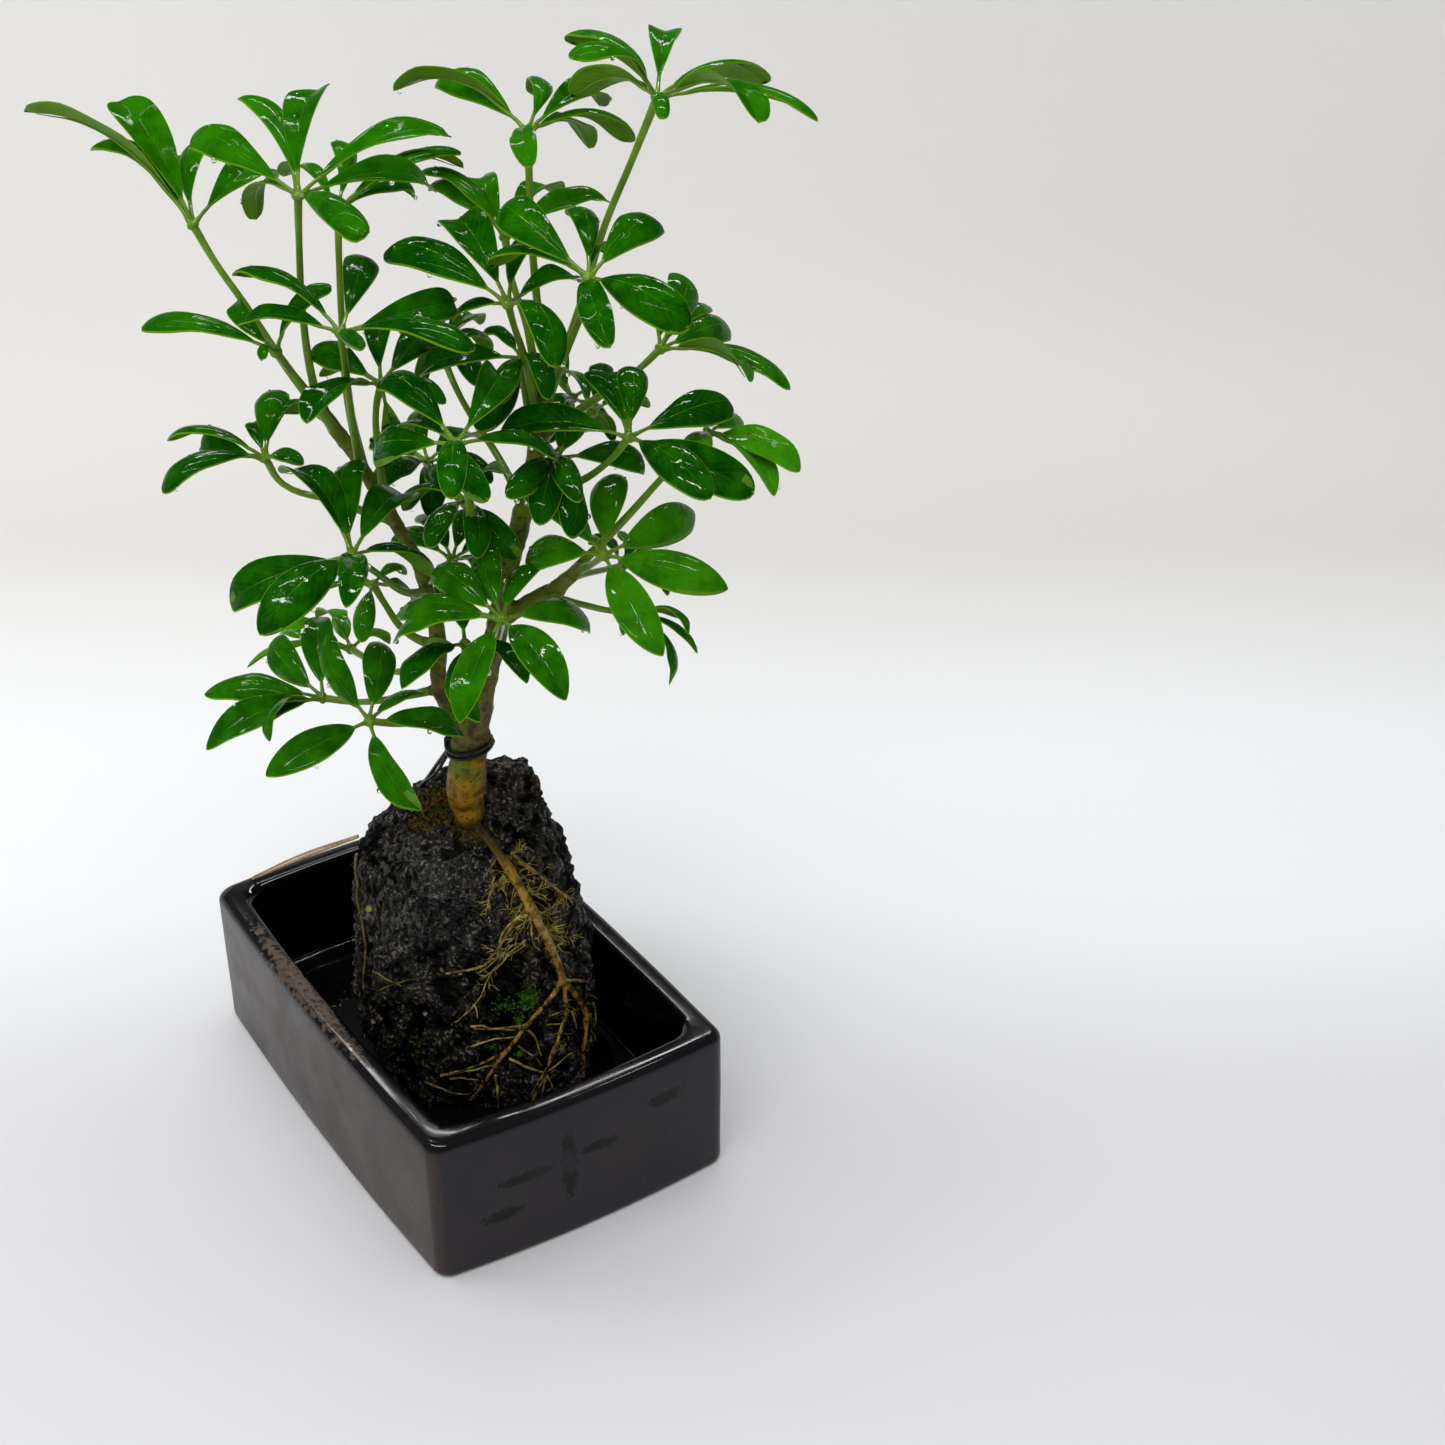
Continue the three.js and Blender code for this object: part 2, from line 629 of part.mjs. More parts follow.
/** One leaflet: a thin arched blade on a short stalk, ridged at its rib, flat underneath. */
function makeLeaflet(hub, tip, reach, crownUp) {
  const chord = tip.clone().sub(hub);
  const root = hub.clone().addScaledVector(chord.clone().normalize(), 0.5 * HUB_RADIUS);
  const length = chord.length();
  const ahead = chord.clone().normalize();
  const lift = crownUp.clone().addScaledVector(ahead, -crownUp.dot(ahead)).normalize();
  const top = hub.clone().addScaledVector(chord, 0.5).addScaledVector(lift, 2 * LEAFLET.arch * length);
  const spine = new THREE.QuadraticBezierCurve3(root, top, tip);
  const across = new THREE.Vector3().crossVectors(ahead, lift);
  const halfWidth = (LEAFLET.width * Math.min(length, reach) * (1 - LEAFLET.stalk)) / 2;
  const stations = [[-LEAFLET.stalk / (1 - LEAFLET.stalk), 0.08], ...LEAFLET.outline];
  const points = [];
  for (const [share, breadth] of stations) {
    const along = LEAFLET.stalk + share * (1 - LEAFLET.stalk);
    const middle = spine.getPoint(Math.max(along, 0));
    const normal = new THREE.Vector3().crossVectors(across, spine.getTangent(Math.max(along, 0)));
    const half = Math.max(breadth * halfWidth, LEAFLET.leastHalfWidth);
    points.push(
      middle.clone().addScaledVector(across, -half),
      middle.clone().addScaledVector(normal, LEAFLET.rib),
      middle.clone().addScaledVector(across, half),
    );
  }
  points.push(tip.clone());
  return solid(meshOf(points, bladeTriangles(stations.length)));
}

/** A blade's triangles: a fan at the stalk, three strips along it and a fan at the tip. */
function bladeTriangles(rings) {
  const triangles = [[0, 1, 2]];
  for (let level = 0; level + 1 < rings; level += 1) {
    for (let side = 0; side < 3; side += 1) {
      const here = 3 * level + side;
      const next = 3 * level + ((side + 1) % 3);
      triangles.push([here, next + 3, next], [here, here + 3, next + 3]);
    }
  }
  const last = 3 * (rings - 1);
  for (let side = 0; side < 3; side += 1) {
    triangles.push([last + side, 3 * rings, last + ((side + 1) % 3)]);
  }
  return triangles;
}

/** A compound leaf: its petiole, its hub and its fan of leaflets, cut clear of the wood. */
function makeLeaf({ hub, depth, reach, droop, petiole, tips }, woodClear) {
  const middle = place(hub, depth);
  const foot = petiole.at(-1);
  const stem = [middle];
  petiole.forEach(([x, y], index) => {
    const share = (index + 1) / petiole.length;
    stem.push(place([x, y], THREE.MathUtils.lerp(depth, foot[2], share)));
  });
  const stemRadii = stem.map((_, index) => PETIOLE_RADIUS * (1 + 0.5 * (index / (stem.length - 1)) ** 3));
  const rise = middle.clone().sub(stem[1]).normalize();
  const crownUp = UP.clone().addScaledVector(rise, 0.5).normalize();
  const knob = new THREE.OctahedronGeometry(HUB_RADIUS, 0).translate(middle.x, middle.y, middle.z);
  const leaflets = tips.map((tip) => makeLeaflet(middle, leafletTip(middle, tip, reach, droop), reach, crownUp));
  const stalk = limb(stem, stemRadii, PETIOLE_SIDES, stem.length + 1);
  return largest(joined([stalk, solid(knob), ...leaflets]).subtract(woodClear));
}

/** The black wire: a tail up from the rock and turns round the trunk. */
function makeTie(stone) {
  const trunkAxis = place(TIE.axis, TIE.depth);
  const reach = TIE.trunkRadius + TIE.radius + GAP;
  const ray = new THREE.Raycaster(EYE, sight(TIE.tail));
  const [{ point: end, face }] = ray.intersectObject(stone);
  const points = [end.clone().addScaledVector(face.normal, TIE.radius + GAP)];
  const steps = Math.round(TIE.turns * TIE.stepsPerTurn);
  for (let step = 0; step <= steps; step += 1) {
    const turn = (2 * Math.PI * step) / TIE.stepsPerTurn + Math.PI;
    const point = trunkAxis.clone();
    point.z += TIE.pitch * (step / TIE.stepsPerTurn - TIE.turns / 2) + TIE.tilt * Math.cos(turn);
    point.addScaledVector(SIDEWAYS, reach * Math.cos(turn)).addScaledVector(TOWARD, reach * Math.sin(turn));
    points.push(point);
  }
  return limb(points, points.map(() => TIE.radius), TIE.sides, steps + 2);
}

/** The shallow water, clear of the tray's walls and of what stands in it. */
function makeWater(standing) {
  const { wall, floor } = TRAY;
  const profile = [
    [wall + 6 + GAP, floor + GAP],
    [wall + 2.4 + GAP, floor + 1.4 + GAP],
    [wall + 1 + GAP, floor + 5],
    [wall + 0.8 + GAP, WATER_LEVEL],
  ];
  return largest(solid(loft(profile.map(([inset, z]) => trayOutline(inset, z)))).subtract(standing));
}

/** A material from its colour, roughness and metalness. */
function finish(color, roughness, metalness = 0) {
  return new THREE.MeshStandardMaterial({ color, roughness, metalness });
}

const MATERIALS = {
  tray: finish(0x2f2b2c, 0.35),
  water: finish(0x1c2323, 0.05),
  rock: finish(0x24221f, 0.85),
  wood: finish(0x8a6a34, 0.6),
  tie: finish(0x141414, 0.5),
  leaf: finish(0x1f6b1a, 0.3),
};

/** A named mesh. */
function piece(name, geometry, material) {
  const mesh = new THREE.Mesh(geometry, material);
  mesh.name = name;
  return mesh;
}

/** The whole bonsai in its tray. */
function makeBonsai() {
  const bonsai = new THREE.Group();
  const rawRock = makeRock();
  const stone = new THREE.Mesh(geometryOf(rawRock), MATERIALS.rock);
  const woodClear = makeWood(stone, GAP);
  const rockClear = makeRock(GAP);
  const wood = largest(makeWood(stone).subtract(rockClear));
  bonsai.add(
    piece("tray", makeTray(), MATERIALS.tray),
    piece("water", geometryOf(makeWater(rockClear.add(woodClear))), MATERIALS.water),
    piece("rock", stone.geometry, MATERIALS.rock),
    piece("wood", geometryOf(wood), MATERIALS.wood),
    piece("tie_wire", geometryOf(makeTie(stone).subtract(woodClear)), MATERIALS.tie),
  );
  for (const leaf of LEAVES) {
    bonsai.add(piece(`leaf_${leaf.name}`, geometryOf(makeLeaf(leaf, woodClear)), MATERIALS.leaf));
  }
  return bonsai;
}

export default makeBonsai();
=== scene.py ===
"""Dresses the root over rock bonsai: leaves, bark, roots, lava rock, moss, glazed tray and water.

Everything is in metres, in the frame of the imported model: X runs along the tray, Z is up. The tree is
drawn after a photograph, so its places are pixels of that picture with a depth in millimetres in front
of the upright plane through the tray's middle, as in the model's own source.
"""

import logging
import math
import random
from collections.abc import Callable, Iterable, Sequence
from dataclasses import dataclass, field
from enum import Enum
from functools import cached_property, partial, reduce

import bmesh
import bpy
from mathutils import Matrix, Vector, noise
from mathutils.bvhtree import BVHTree


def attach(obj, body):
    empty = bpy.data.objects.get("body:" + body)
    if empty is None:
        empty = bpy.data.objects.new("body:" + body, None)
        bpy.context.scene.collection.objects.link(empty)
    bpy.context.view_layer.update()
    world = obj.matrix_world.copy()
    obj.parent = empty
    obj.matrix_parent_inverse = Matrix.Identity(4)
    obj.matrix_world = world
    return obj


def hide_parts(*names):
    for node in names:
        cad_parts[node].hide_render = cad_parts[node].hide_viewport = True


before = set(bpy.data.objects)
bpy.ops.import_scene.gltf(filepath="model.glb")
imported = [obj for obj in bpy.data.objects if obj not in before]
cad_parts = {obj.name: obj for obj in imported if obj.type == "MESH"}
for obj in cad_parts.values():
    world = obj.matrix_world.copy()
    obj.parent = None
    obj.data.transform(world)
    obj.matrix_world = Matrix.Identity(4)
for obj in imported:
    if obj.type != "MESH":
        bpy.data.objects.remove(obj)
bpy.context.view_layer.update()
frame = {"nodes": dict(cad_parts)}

MM = 0.001
SEED = 20
UP = Vector((0.0, 0.0, 1.0))
log = logging.getLogger("bonsai")

Pair = tuple[float, float]
Pixel = Pair
Triple = tuple[float, float, float]
Colour = Triple
Rows = tuple[tuple[float, ...], ...]
Outline = list[Pair]
Path = tuple[Sequence[Vector], Sequence[float]]
Material = bpy.types.Material
Shape = bmesh.types.BMesh
Socket = bpy.types.NodeSocket


# The photograph and the helpers that place things by it


@dataclass(frozen=True)
class View:
    """The photograph's camera: pixels for its frame, radians and metres for the rest."""

    frame: int = 1445
    focal: float = 2300.0
    azimuth: float = math.radians(56.66)
    elevation: float = math.radians(30.39)
    right: float = 97.6 * MM
    up: float = 135.9 * MM
    distance: float = 870.2 * MM
    sensor: float = 36.0

    @cached_property
    def sideways(self) -> Vector:
        """The direction of the picture's right-hand side."""
        return Vector((math.cos(self.azimuth), math.sin(self.azimuth), 0.0))

    @cached_property
    def toward(self) -> Vector:
        """The level direction toward the viewer."""
        return Vector((math.sin(self.azimuth), -math.cos(self.azimuth), 0.0))

    @cached_property
    def backward(self) -> Vector:
        """The direction from the picture's middle back to the camera."""
        return self.toward * math.cos(self.elevation) + UP * math.sin(self.elevation)

    @cached_property
    def upward(self) -> Vector:
        """The direction of the picture's upper side."""
        return self.backward.cross(self.sideways)

    @cached_property
    def eye(self) -> Vector:
        """The place of the camera."""
        return self.sideways * self.right + self.upward * self.up + self.backward * self.distance

    def sight(self, pixel: Sequence[float]) -> Vector:
        """Gives the direction from the camera through a pixel.

        Args:
            pixel: The pixel's x and y.

        Returns:
            A unit vector.
        """
        middle = self.frame / 2
        across = self.sideways * ((pixel[0] - middle) / self.focal)
        along = self.upward * ((middle - pixel[1]) / self.focal)
        return (across + along - self.backward).normalized()

    def place(self, pixel: Sequence[float], depth: float) -> Vector:
        """Gives the point behind a pixel at a depth.

        Args:
            pixel: The pixel's x and y.
            depth: Millimetres in front of the upright plane through the tray's middle.

        Returns:
            The point in the model's frame.
        """
        direction = self.sight(pixel)
        distance = (depth * MM - self.eye.dot(self.toward)) / direction.dot(self.toward)
        return self.eye + direction * distance

    def level(self, pixel: Sequence[float], height: float) -> Vector:
        """Gives the point behind a pixel on a level plane at a height in metres."""
        direction = self.sight(pixel)
        return self.eye + direction * ((height - self.eye.z) / direction.z)

    def add_camera(self) -> None:
        """Adds the camera that takes the photograph's view."""
        data = bpy.data.cameras.new("photo_view")
        data.sensor_width = self.sensor
        data.lens = self.focal * self.sensor / self.frame
        camera = spawn("photo_view", data)
        axes = Matrix((self.sideways, self.upward, self.backward)).transposed().to_4x4()
        camera.matrix_world = Matrix.Translation(self.eye) @ axes
        bpy.context.scene.camera = camera


VIEW = View()


class Slot(Enum):
    """Names of material slots."""

    GLAZE = "glaze"
    WATER = "water"
    STONE = "lava_rock"
    BARK = "bark"
    WIRE = "wire"
    LEAF = "leaf"


def smooth(low: float, high: float, value: float) -> float:
    """Rises softly from 0 at low to 1 at high."""
    share = min(max((value - low) / (high - low), 0.0), 1.0)
    return share * share * (3 - 2 * share)


def lerp(low: float, high: float, share: float) -> float:
    """Goes straight from low to high."""
    return low + (high - low) * share


def spawn(name: str, data: bpy.types.ID) -> bpy.types.Object:
    """Puts a mesh, a curve, a camera or a lamp in the scene.

    Args:
        name: The object's name.
        data: What it shows.

    Returns:
        The object.
    """
    made = bpy.data.objects.new(name, data)
    bpy.context.scene.collection.objects.link(made)
    return made


def baked(source: bpy.types.Object) -> bpy.types.Mesh:
    """Takes an object's mesh with its modifiers applied.

    Args:
        source: The object. It is removed.

    Returns:
        The mesh.
    """
    bpy.context.view_layer.update()
    mesh = bpy.data.meshes.new_from_object(source.evaluated_get(bpy.context.evaluated_depsgraph_get()))
    bpy.data.objects.remove(source)
    return mesh


def finish_piece(
    name: str,
    shape: Shape,
    materials: Iterable[Material],
    replaced: Sequence[str] = (),
    crease: float = math.radians(60),
) -> None:
    """Makes a finished piece of a shape and fastens it to the frame.

    Args:
        name: The piece's name.
        shape: Its geometry, in the model's frame. It is freed.
        materials: Its materials, in the order of the faces' indices.
        replaced: The CAD nodes that it stands for.
        crease: Edges sharper than this angle stay sharp.
    """
    mesh = bpy.data.meshes.new(name)
    shape.to_mesh(mesh)
    shape.free()
    for material in materials:
        mesh.materials.append(material)
    mesh.polygons.foreach_set("use_smooth", [True] * len(mesh.polygons))
    mesh.set_sharp_from_angle(angle=crease)
    made = spawn(name, mesh)
    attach(made, "root")
    if replaced:
        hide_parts(*replaced)
    log.info("%s: %d faces", name, len(mesh.polygons))


def add_tubes(shape: Shape, paths: Sequence[Path], rings: int, steps: int) -> None:
    """Adds round tubes with closed ends along smooth paths.

    Args:
        shape: The shape that they go into.
        paths: For each tube its points, and its radius at each point.
        rings: The bevel resolution: a tube has 4 + 2 * rings sides.
        steps: The steps between two points.
    """
    curve = bpy.data.curves.new("tubes", "CURVE")
    curve.dimensions = "3D"
    curve.bevel_depth = 1.0
    curve.bevel_resolution = rings
    curve.resolution_u = steps
    curve.use_fill_caps = True
    for points, radii in paths:
        spline = curve.splines.new("BEZIER")
        spline.bezier_points.add(len(points) - 1)
        for knot, point, radius in zip(spline.bezier_points, points, radii):
            knot.co = point
            knot.radius = radius
            knot.handle_left_type = knot.handle_right_type = "AUTO"
    mesh = baked(spawn("tubes", curve))
    bpy.data.curves.remove(curve)
    shape.from_mesh(mesh)
    bpy.data.meshes.remove(mesh)


def turned(way: Vector) -> Matrix:
    """The turn that takes a shape's own Z to a direction."""
    return way.to_track_quat("Z", "Y").to_matrix().to_4x4()


class Stamp:
    """A small shape that is pressed into a bigger one many times."""

    def __init__(self, shape: Shape) -> None:
        """Keeps the small shape.

        Args:
            shape: The small shape. It is freed.
        """
        self.mesh = bpy.data.meshes.new("stamp")
        shape.to_mesh(self.mesh)
        shape.free()

    def press(self, shape: Shape, matrix: Matrix) -> None:
        """Adds a copy of the small shape to a bigger one.

        Args:
            shape: The bigger shape.
            matrix: The copy's turn, size and place.
        """
        copy = self.mesh.copy()
        copy.transform(matrix)
        shape.from_mesh(copy)
        bpy.data.meshes.remove(copy)


def eased(points: Sequence[Vector], rounds: int) -> list[Vector]:
    """Takes the small wiggles out of a path, and keeps its ends.

    Args:
        points: The path.
        rounds: How many times it is smoothed.

    Returns:
        The new path.
    """
    path = list(points)
    for _ in range(rounds):
        middle = [(before + here * 2 + after) / 4 for before, here, after in zip(path, path[1:], path[2:])]
        path = [path[0], *middle, path[-1]] if len(path) > 2 else path
    return path


def remeshed(raw: Shape, voxel: float) -> Shape:
    """Fuses closed shells into one even skin.

    Args:
        raw: The shells, which may cross each other. It is freed.
        voxel: The size of a face in metres.

    Returns:
        The skin.
    """
    mesh = bpy.data.meshes.new("raw")
    raw.to_mesh(mesh)
    raw.free()
    source = spawn("raw", mesh)
    modifier = source.modifiers.new("skin", "REMESH")
    modifier.mode = "VOXEL"
    modifier.voxel_size = voxel
    skin = baked(source)
    shape = bmesh.new()
    shape.from_mesh(skin)
    bpy.data.meshes.remove(skin)
    bpy.data.meshes.remove(mesh)
    return shape


def relax(shape: Shape, rounds: int) -> None:
    """Smooths a skin.

    Args:
        shape: The skin.
        rounds: How many times it is smoothed.
    """
    for _ in range(rounds):
        bmesh.ops.smooth_vert(
            shape, verts=shape.verts, factor=0.5, use_axis_x=True, use_axis_y=True, use_axis_z=True
        )


def displaced(shape: Shape, height: Callable[[Vector], float]) -> None:
    """Moves every vertex along its normal.

    Args:
        shape: The shape.
        height: Gives the move at a place.
    """
    shape.normal_update()
    moves = [vert.normal * height(vert.co) for vert in shape.verts]
    for vert, move in zip(shape.verts, moves):
        vert.co += move
    shape.normal_update()


# The finishes


class Nodes:
    """A material under construction, with a short call for each kind of node that it needs."""

    def __init__(self, name: str) -> None:
        """Starts a material.

        Args:
            name: Its name.
        """
        self.material = bpy.data.materials.new(name)
        self.material.use_nodes = True
        self.tree = self.material.node_tree
        self.shader = self.tree.nodes["Principled BSDF"]

    def node(self, kind: str, inputs: dict[int | str, object], **settings: object) -> bpy.types.Node:
        """Adds a node.

        Args:
            kind: The node's type, without its prefix.
            inputs: A value or another node's output for each input.
            settings: The node's own settings.

        Returns:
            The node.
        """
        made = self.tree.nodes.new(f"ShaderNode{kind}")
        for name, value in settings.items():
            setattr(made, name, value)
        for key, value in inputs.items():
            self.feed(made.inputs[key], value)
        return made

    def feed(self, socket: Socket, value: object) -> None:
        """Gives an input its value, or links an output to it.

        Args:
            socket: The input.
            value: A number, a colour, a vector or an output.
        """
        if isinstance(value, Socket):
            self.tree.links.new(value, socket)
        elif socket.type == "RGBA":
            socket.default_value = (*value, 1.0)
        else:
            socket.default_value = value

    def dress(self, **inputs: object) -> Material:
        """Sets the shader's inputs.

        Args:
            inputs: Their values, by names with underscores for spaces.

        Returns:
            The finished material.
        """
        for name, value in inputs.items():
            self.feed(self.shader.inputs[name.replace("_", " ")], value)
        return self.material

    @cached_property
    def here(self) -> Socket:
        """The place on the piece."""
        return self.node("TexCoord", {}).outputs["Object"]

    def axis(self, name: str, vector: Socket | None = None) -> Socket:
        """One axis of a place, of the piece's own unless another is given."""
        return self.node("SeparateXYZ", {0: vector or self.here}).outputs[name]

    def attribute(self, name: str) -> Socket:
        """A number that the mesh holds at each vertex."""
        return self.node("Attribute", {}, attribute_name=name).outputs["Fac"]

    def noise(self, size: float, detail: float = 3.0, vector: Socket | None = None) -> Socket:
        """A soft random pattern with features of that size, from 0 to 1."""
        inputs = {"Vector": vector or self.here, "Scale": 1 / size, "Detail": detail, "Roughness": 0.6}
        return self.node("TexNoise", inputs).outputs["Fac"]

    def cells(self, size: float) -> Socket:
        """The distance to the nearest of random points, in shares of that size."""
        return self.node("TexVoronoi", {"Vector": self.here, "Scale": 1 / size}).outputs["Distance"]

    def math(self, operation: str, *values: object) -> Socket:
        """What a Math node makes of numbers."""
        return self.node("Math", dict(enumerate(values)), operation=operation).outputs[0]

    def times(self, *values: object) -> Socket:
        """A product."""
        return reduce(partial(self.math, "MULTIPLY"), values)

    def plus(self, *values: object) -> Socket:
        """A sum."""
        return reduce(partial(self.math, "ADD"), values)

    def minus(self, first: object, second: object) -> Socket:
        """A difference."""
        return self.math("SUBTRACT", first, second)

    def most(self, *values: object) -> Socket:
        """The greatest of some numbers."""
        return reduce(partial(self.math, "MAXIMUM"), values)

    def span(self, value: object, low: float, high: float, start: float = 0.0, end: float = 1.0) -> Socket:
        """Rises softly from start to end while the value goes from low to high."""
        inputs = {"Value": value, "From Min": low, "From Max": high, "To Min": start, "To Max": end}
        return self.node("MapRange", inputs, interpolation_type="SMOOTHSTEP").outputs["Result"]

    def patches(
        self, size: float, low: float, high: float, detail: float = 3.0, start: float = 0.0, end: float = 1.0
    ) -> Socket:
        """Soft patches: noise of that size, taken from start to end while it goes from low to high."""
        return self.span(self.noise(size, detail), low, high, start, end)

    def mix(self, share: object, first: object, second: object, strength: float = 1.0) -> Socket:
        """A colour between two, at a share that may be weakened."""
        part = share if strength == 1.0 else self.times(share, strength)
        return self.node("Mix", {0: part, 6: first, 7: second}, data_type="RGBA").outputs[2]

    def bump(
        self, height: object, distance: float, strength: float = 1.0, under: Socket | None = None
    ) -> Socket:
        """A surface normal with relief of that height, over another relief where one is given."""
        inputs = {"Height": height, "Distance": distance, "Strength": strength}
        return self.node("Bump", inputs | ({"Normal": under} if under else {})).outputs["Normal"]

    def spot(self, centre: Vector, radii: Vector, turn: float = 0.0, ragged: float = 0.3) -> Socket:
        """A patch with a ragged edge on the piece.

        Args:
            centre: Its middle, in the model's frame.
            radii: Its reach along each of its axes.
            turn: Its turn about Z.
            ragged: How far noise moves its edge, as a share of the radii.

        Returns:
            1 in the patch and 0 outside.
        """
        inputs = {"Vector": self.here, "Location": centre, "Rotation": (0.0, 0.0, turn), "Scale": radii}
        own = self.node("Mapping", inputs, vector_type="TEXTURE").outputs["Vector"]
        away = self.node("VectorMath", {0: own}, operation="LENGTH").outputs["Value"]
        stir = self.span(self.noise(min(radii) * 0.7), 0.3, 0.7, -ragged, ragged)
        return self.span(self.plus(away, stir), 1.1, 0.75)


@dataclass(frozen=True)
class LeafFinish:
    """Glossy wet leaflets with a pale rib, a pale margin that is partly a painted highlight, matte lighter
    undersides and green stalks.
    """

    dark: Colour = (0.0018, 0.046, 0.0002)
    mid: Colour = (0.018, 0.155, 0.0004)
    young: Colour = (0.055, 0.27, 0.004)
    rib: Colour = (0.035, 0.19, 0.004)
    # Pale green of the margin, partly a painted highlight along the edge; it also lightens the undersides'
    # ribs and the stalks.
    margin: Colour = (0.16, 0.33, 0.006)
    under: Colour = (0.10, 0.24, 0.010)
    under_dark: Colour = (0.045, 0.14, 0.004)
    scar: Colour = (0.09, 0.03, 0.006)
    stalk: Colour = (0.13, 0.25, 0.02)
    stalk_old: Colour = (0.075, 0.15, 0.010)
    veins: float = 11.0
    vein_slant: float = 3.2
    mottle: float = 7 * MM
    drizzle: float = 1.5 * MM
    film_ior: float = 1.28
    glossy_below: float = 250 * MM
    dull_above: float = 330 * MM

    def blade(self, nodes: Nodes) -> tuple[Socket, ...]:
        """Gives the masks that follow a blade's own map.

        Args:
            nodes: The material under construction.

        Returns:
            The way along the blade, its rib, its veins and its margin.
        """
        own = nodes.node("UVMap", {}, uv_map="blade").outputs["UV"]
        along = nodes.axis("Y", own)
        across = nodes.math("ABSOLUTE", nodes.math("MULTIPLY_ADD", nodes.axis("X", own), 2.0, -1.0))
        rib = nodes.times(nodes.span(across, 0.02, 0.065, 1.0, 0.0), nodes.span(along, 0.55, 1.0, 1.0, 0.15))
        slant = nodes.times(across, self.vein_slant)
        wave = nodes.minus(nodes.times(along, self.veins), slant)
        veins = nodes.math("SINE", nodes.times(wave, 2 * math.pi))
        fine = nodes.times(nodes.span(veins, 0.75, 1.0), nodes.span(across, 0.35, 0.95, 1.0, 0.0))
        edge = nodes.most(nodes.span(across, 0.962, 0.99), nodes.span(along, 0.988, 0.997))
        return along, rib, fine, edge

    def top(self) -> Material:
        """Makes the upper side.

        Returns:
            The material.
        """
        nodes = Nodes("leaf_top")
        along, rib, veins, margin = self.blade(nodes)
        tone = nodes.attribute("tone")
        mottle = nodes.noise(self.mottle, 4.0)
        shade = nodes.math("MULTIPLY_ADD", mottle, 1.5, -0.75)
        green = nodes.mix(nodes.span(nodes.plus(tone, shade), 0.0, 1.0), self.dark, self.mid)
        youth = nodes.times(nodes.attribute("youth"), nodes.span(mottle, 0.38, 0.62, 0.6, 1.15))
        green = nodes.mix(youth, green, self.young)
        green = nodes.mix(veins, green, self.rib, 0.22)
        green = nodes.mix(rib, green, self.rib, 0.4)
        base = nodes.span(along, 0.0, 0.12, 0.55, 0.0)
        green = nodes.mix(base, green, self.rib)
        worn = nodes.times(nodes.patches(5 * MM, 0.71, 0.76, 2.0), nodes.span(tone, 0.5, 0.6))
        green = nodes.mix(worn, green, self.scar)
        # The narrow pale margin is partly a painted highlight along the leaflet's edge.
        green = nodes.mix(margin, green, self.margin, 0.7)
        relief = nodes.minus(nodes.noise(2.2 * MM), nodes.times(rib, 0.8))
        skin = nodes.bump(nodes.minus(relief, nodes.times(veins, 0.35)), 0.12 * MM)
        wet = nodes.patches(9 * MM, 0.52, 0.66, 2.0)
        beads = nodes.times(nodes.span(nodes.cells(self.drizzle), 0.1, 0.4, 1.0, 0.0), wet)
        film = nodes.bump(beads, 0.15 * MM, 0.8, nodes.bump(nodes.noise(6 * MM), 0.17 * MM))
        shine = nodes.patches(15 * MM, 0.42, 0.58, 2.0, 0.15, 0.75)
        shine = nodes.times(shine, nodes.span(nodes.axis("Z"), self.glossy_below, self.dull_above, 1.0, 0.45))
        return nodes.dress(
            Base_Color=green, Roughness=0.5, Normal=skin, Coat_Weight=shine, Coat_Roughness=0.04,
            Coat_IOR=self.film_ior, Coat_Normal=film, Specular_IOR_Level=0.0,
        )

    def underside(self) -> Material:
        """Makes the lower side.

        Returns:
            The material.
        """
        nodes = Nodes("leaf_underside")
        _, rib, veins, margin = self.blade(nodes)
        green = nodes.mix(nodes.patches(self.mottle, 0.3, 0.7), self.under_dark, self.under)
        green = nodes.mix(nodes.attribute("tone"), green, self.under)
        green = nodes.mix(veins, green, self.rib, 0.2)
        # The pale margin here is partly a painted highlight too.
        green = nodes.mix(nodes.most(nodes.times(rib, 0.7), margin), green, self.margin)
        relief = nodes.bump(nodes.plus(nodes.noise(1.2 * MM), veins), 0.1 * MM)
        return nodes.dress(
            Base_Color=green, Roughness=0.5, Normal=relief, Coat_Weight=0.1, Coat_Roughness=0.15,
            Specular_IOR_Level=0.05,
        )

    def stem(self) -> Material:
        """Makes petioles, hubs and leaflet stalks.

        Returns:
            The material.
        """
        nodes = Nodes("leaf_stalk")
        green = nodes.mix(nodes.patches(11 * MM, 0.35, 0.7, 4.0), self.stalk_old, self.stalk)
        green = nodes.mix(nodes.attribute("tone"), green, self.margin, 0.35)
        relief = nodes.bump(nodes.noise(1.1 * MM, 4.0), 0.12 * MM)
        return nodes.dress(
            Base_Color=green, Roughness=0.4, Normal=relief, Coat_Weight=0.35, Coat_Roughness=0.08,
            Specular_IOR_Level=0.03,
        )


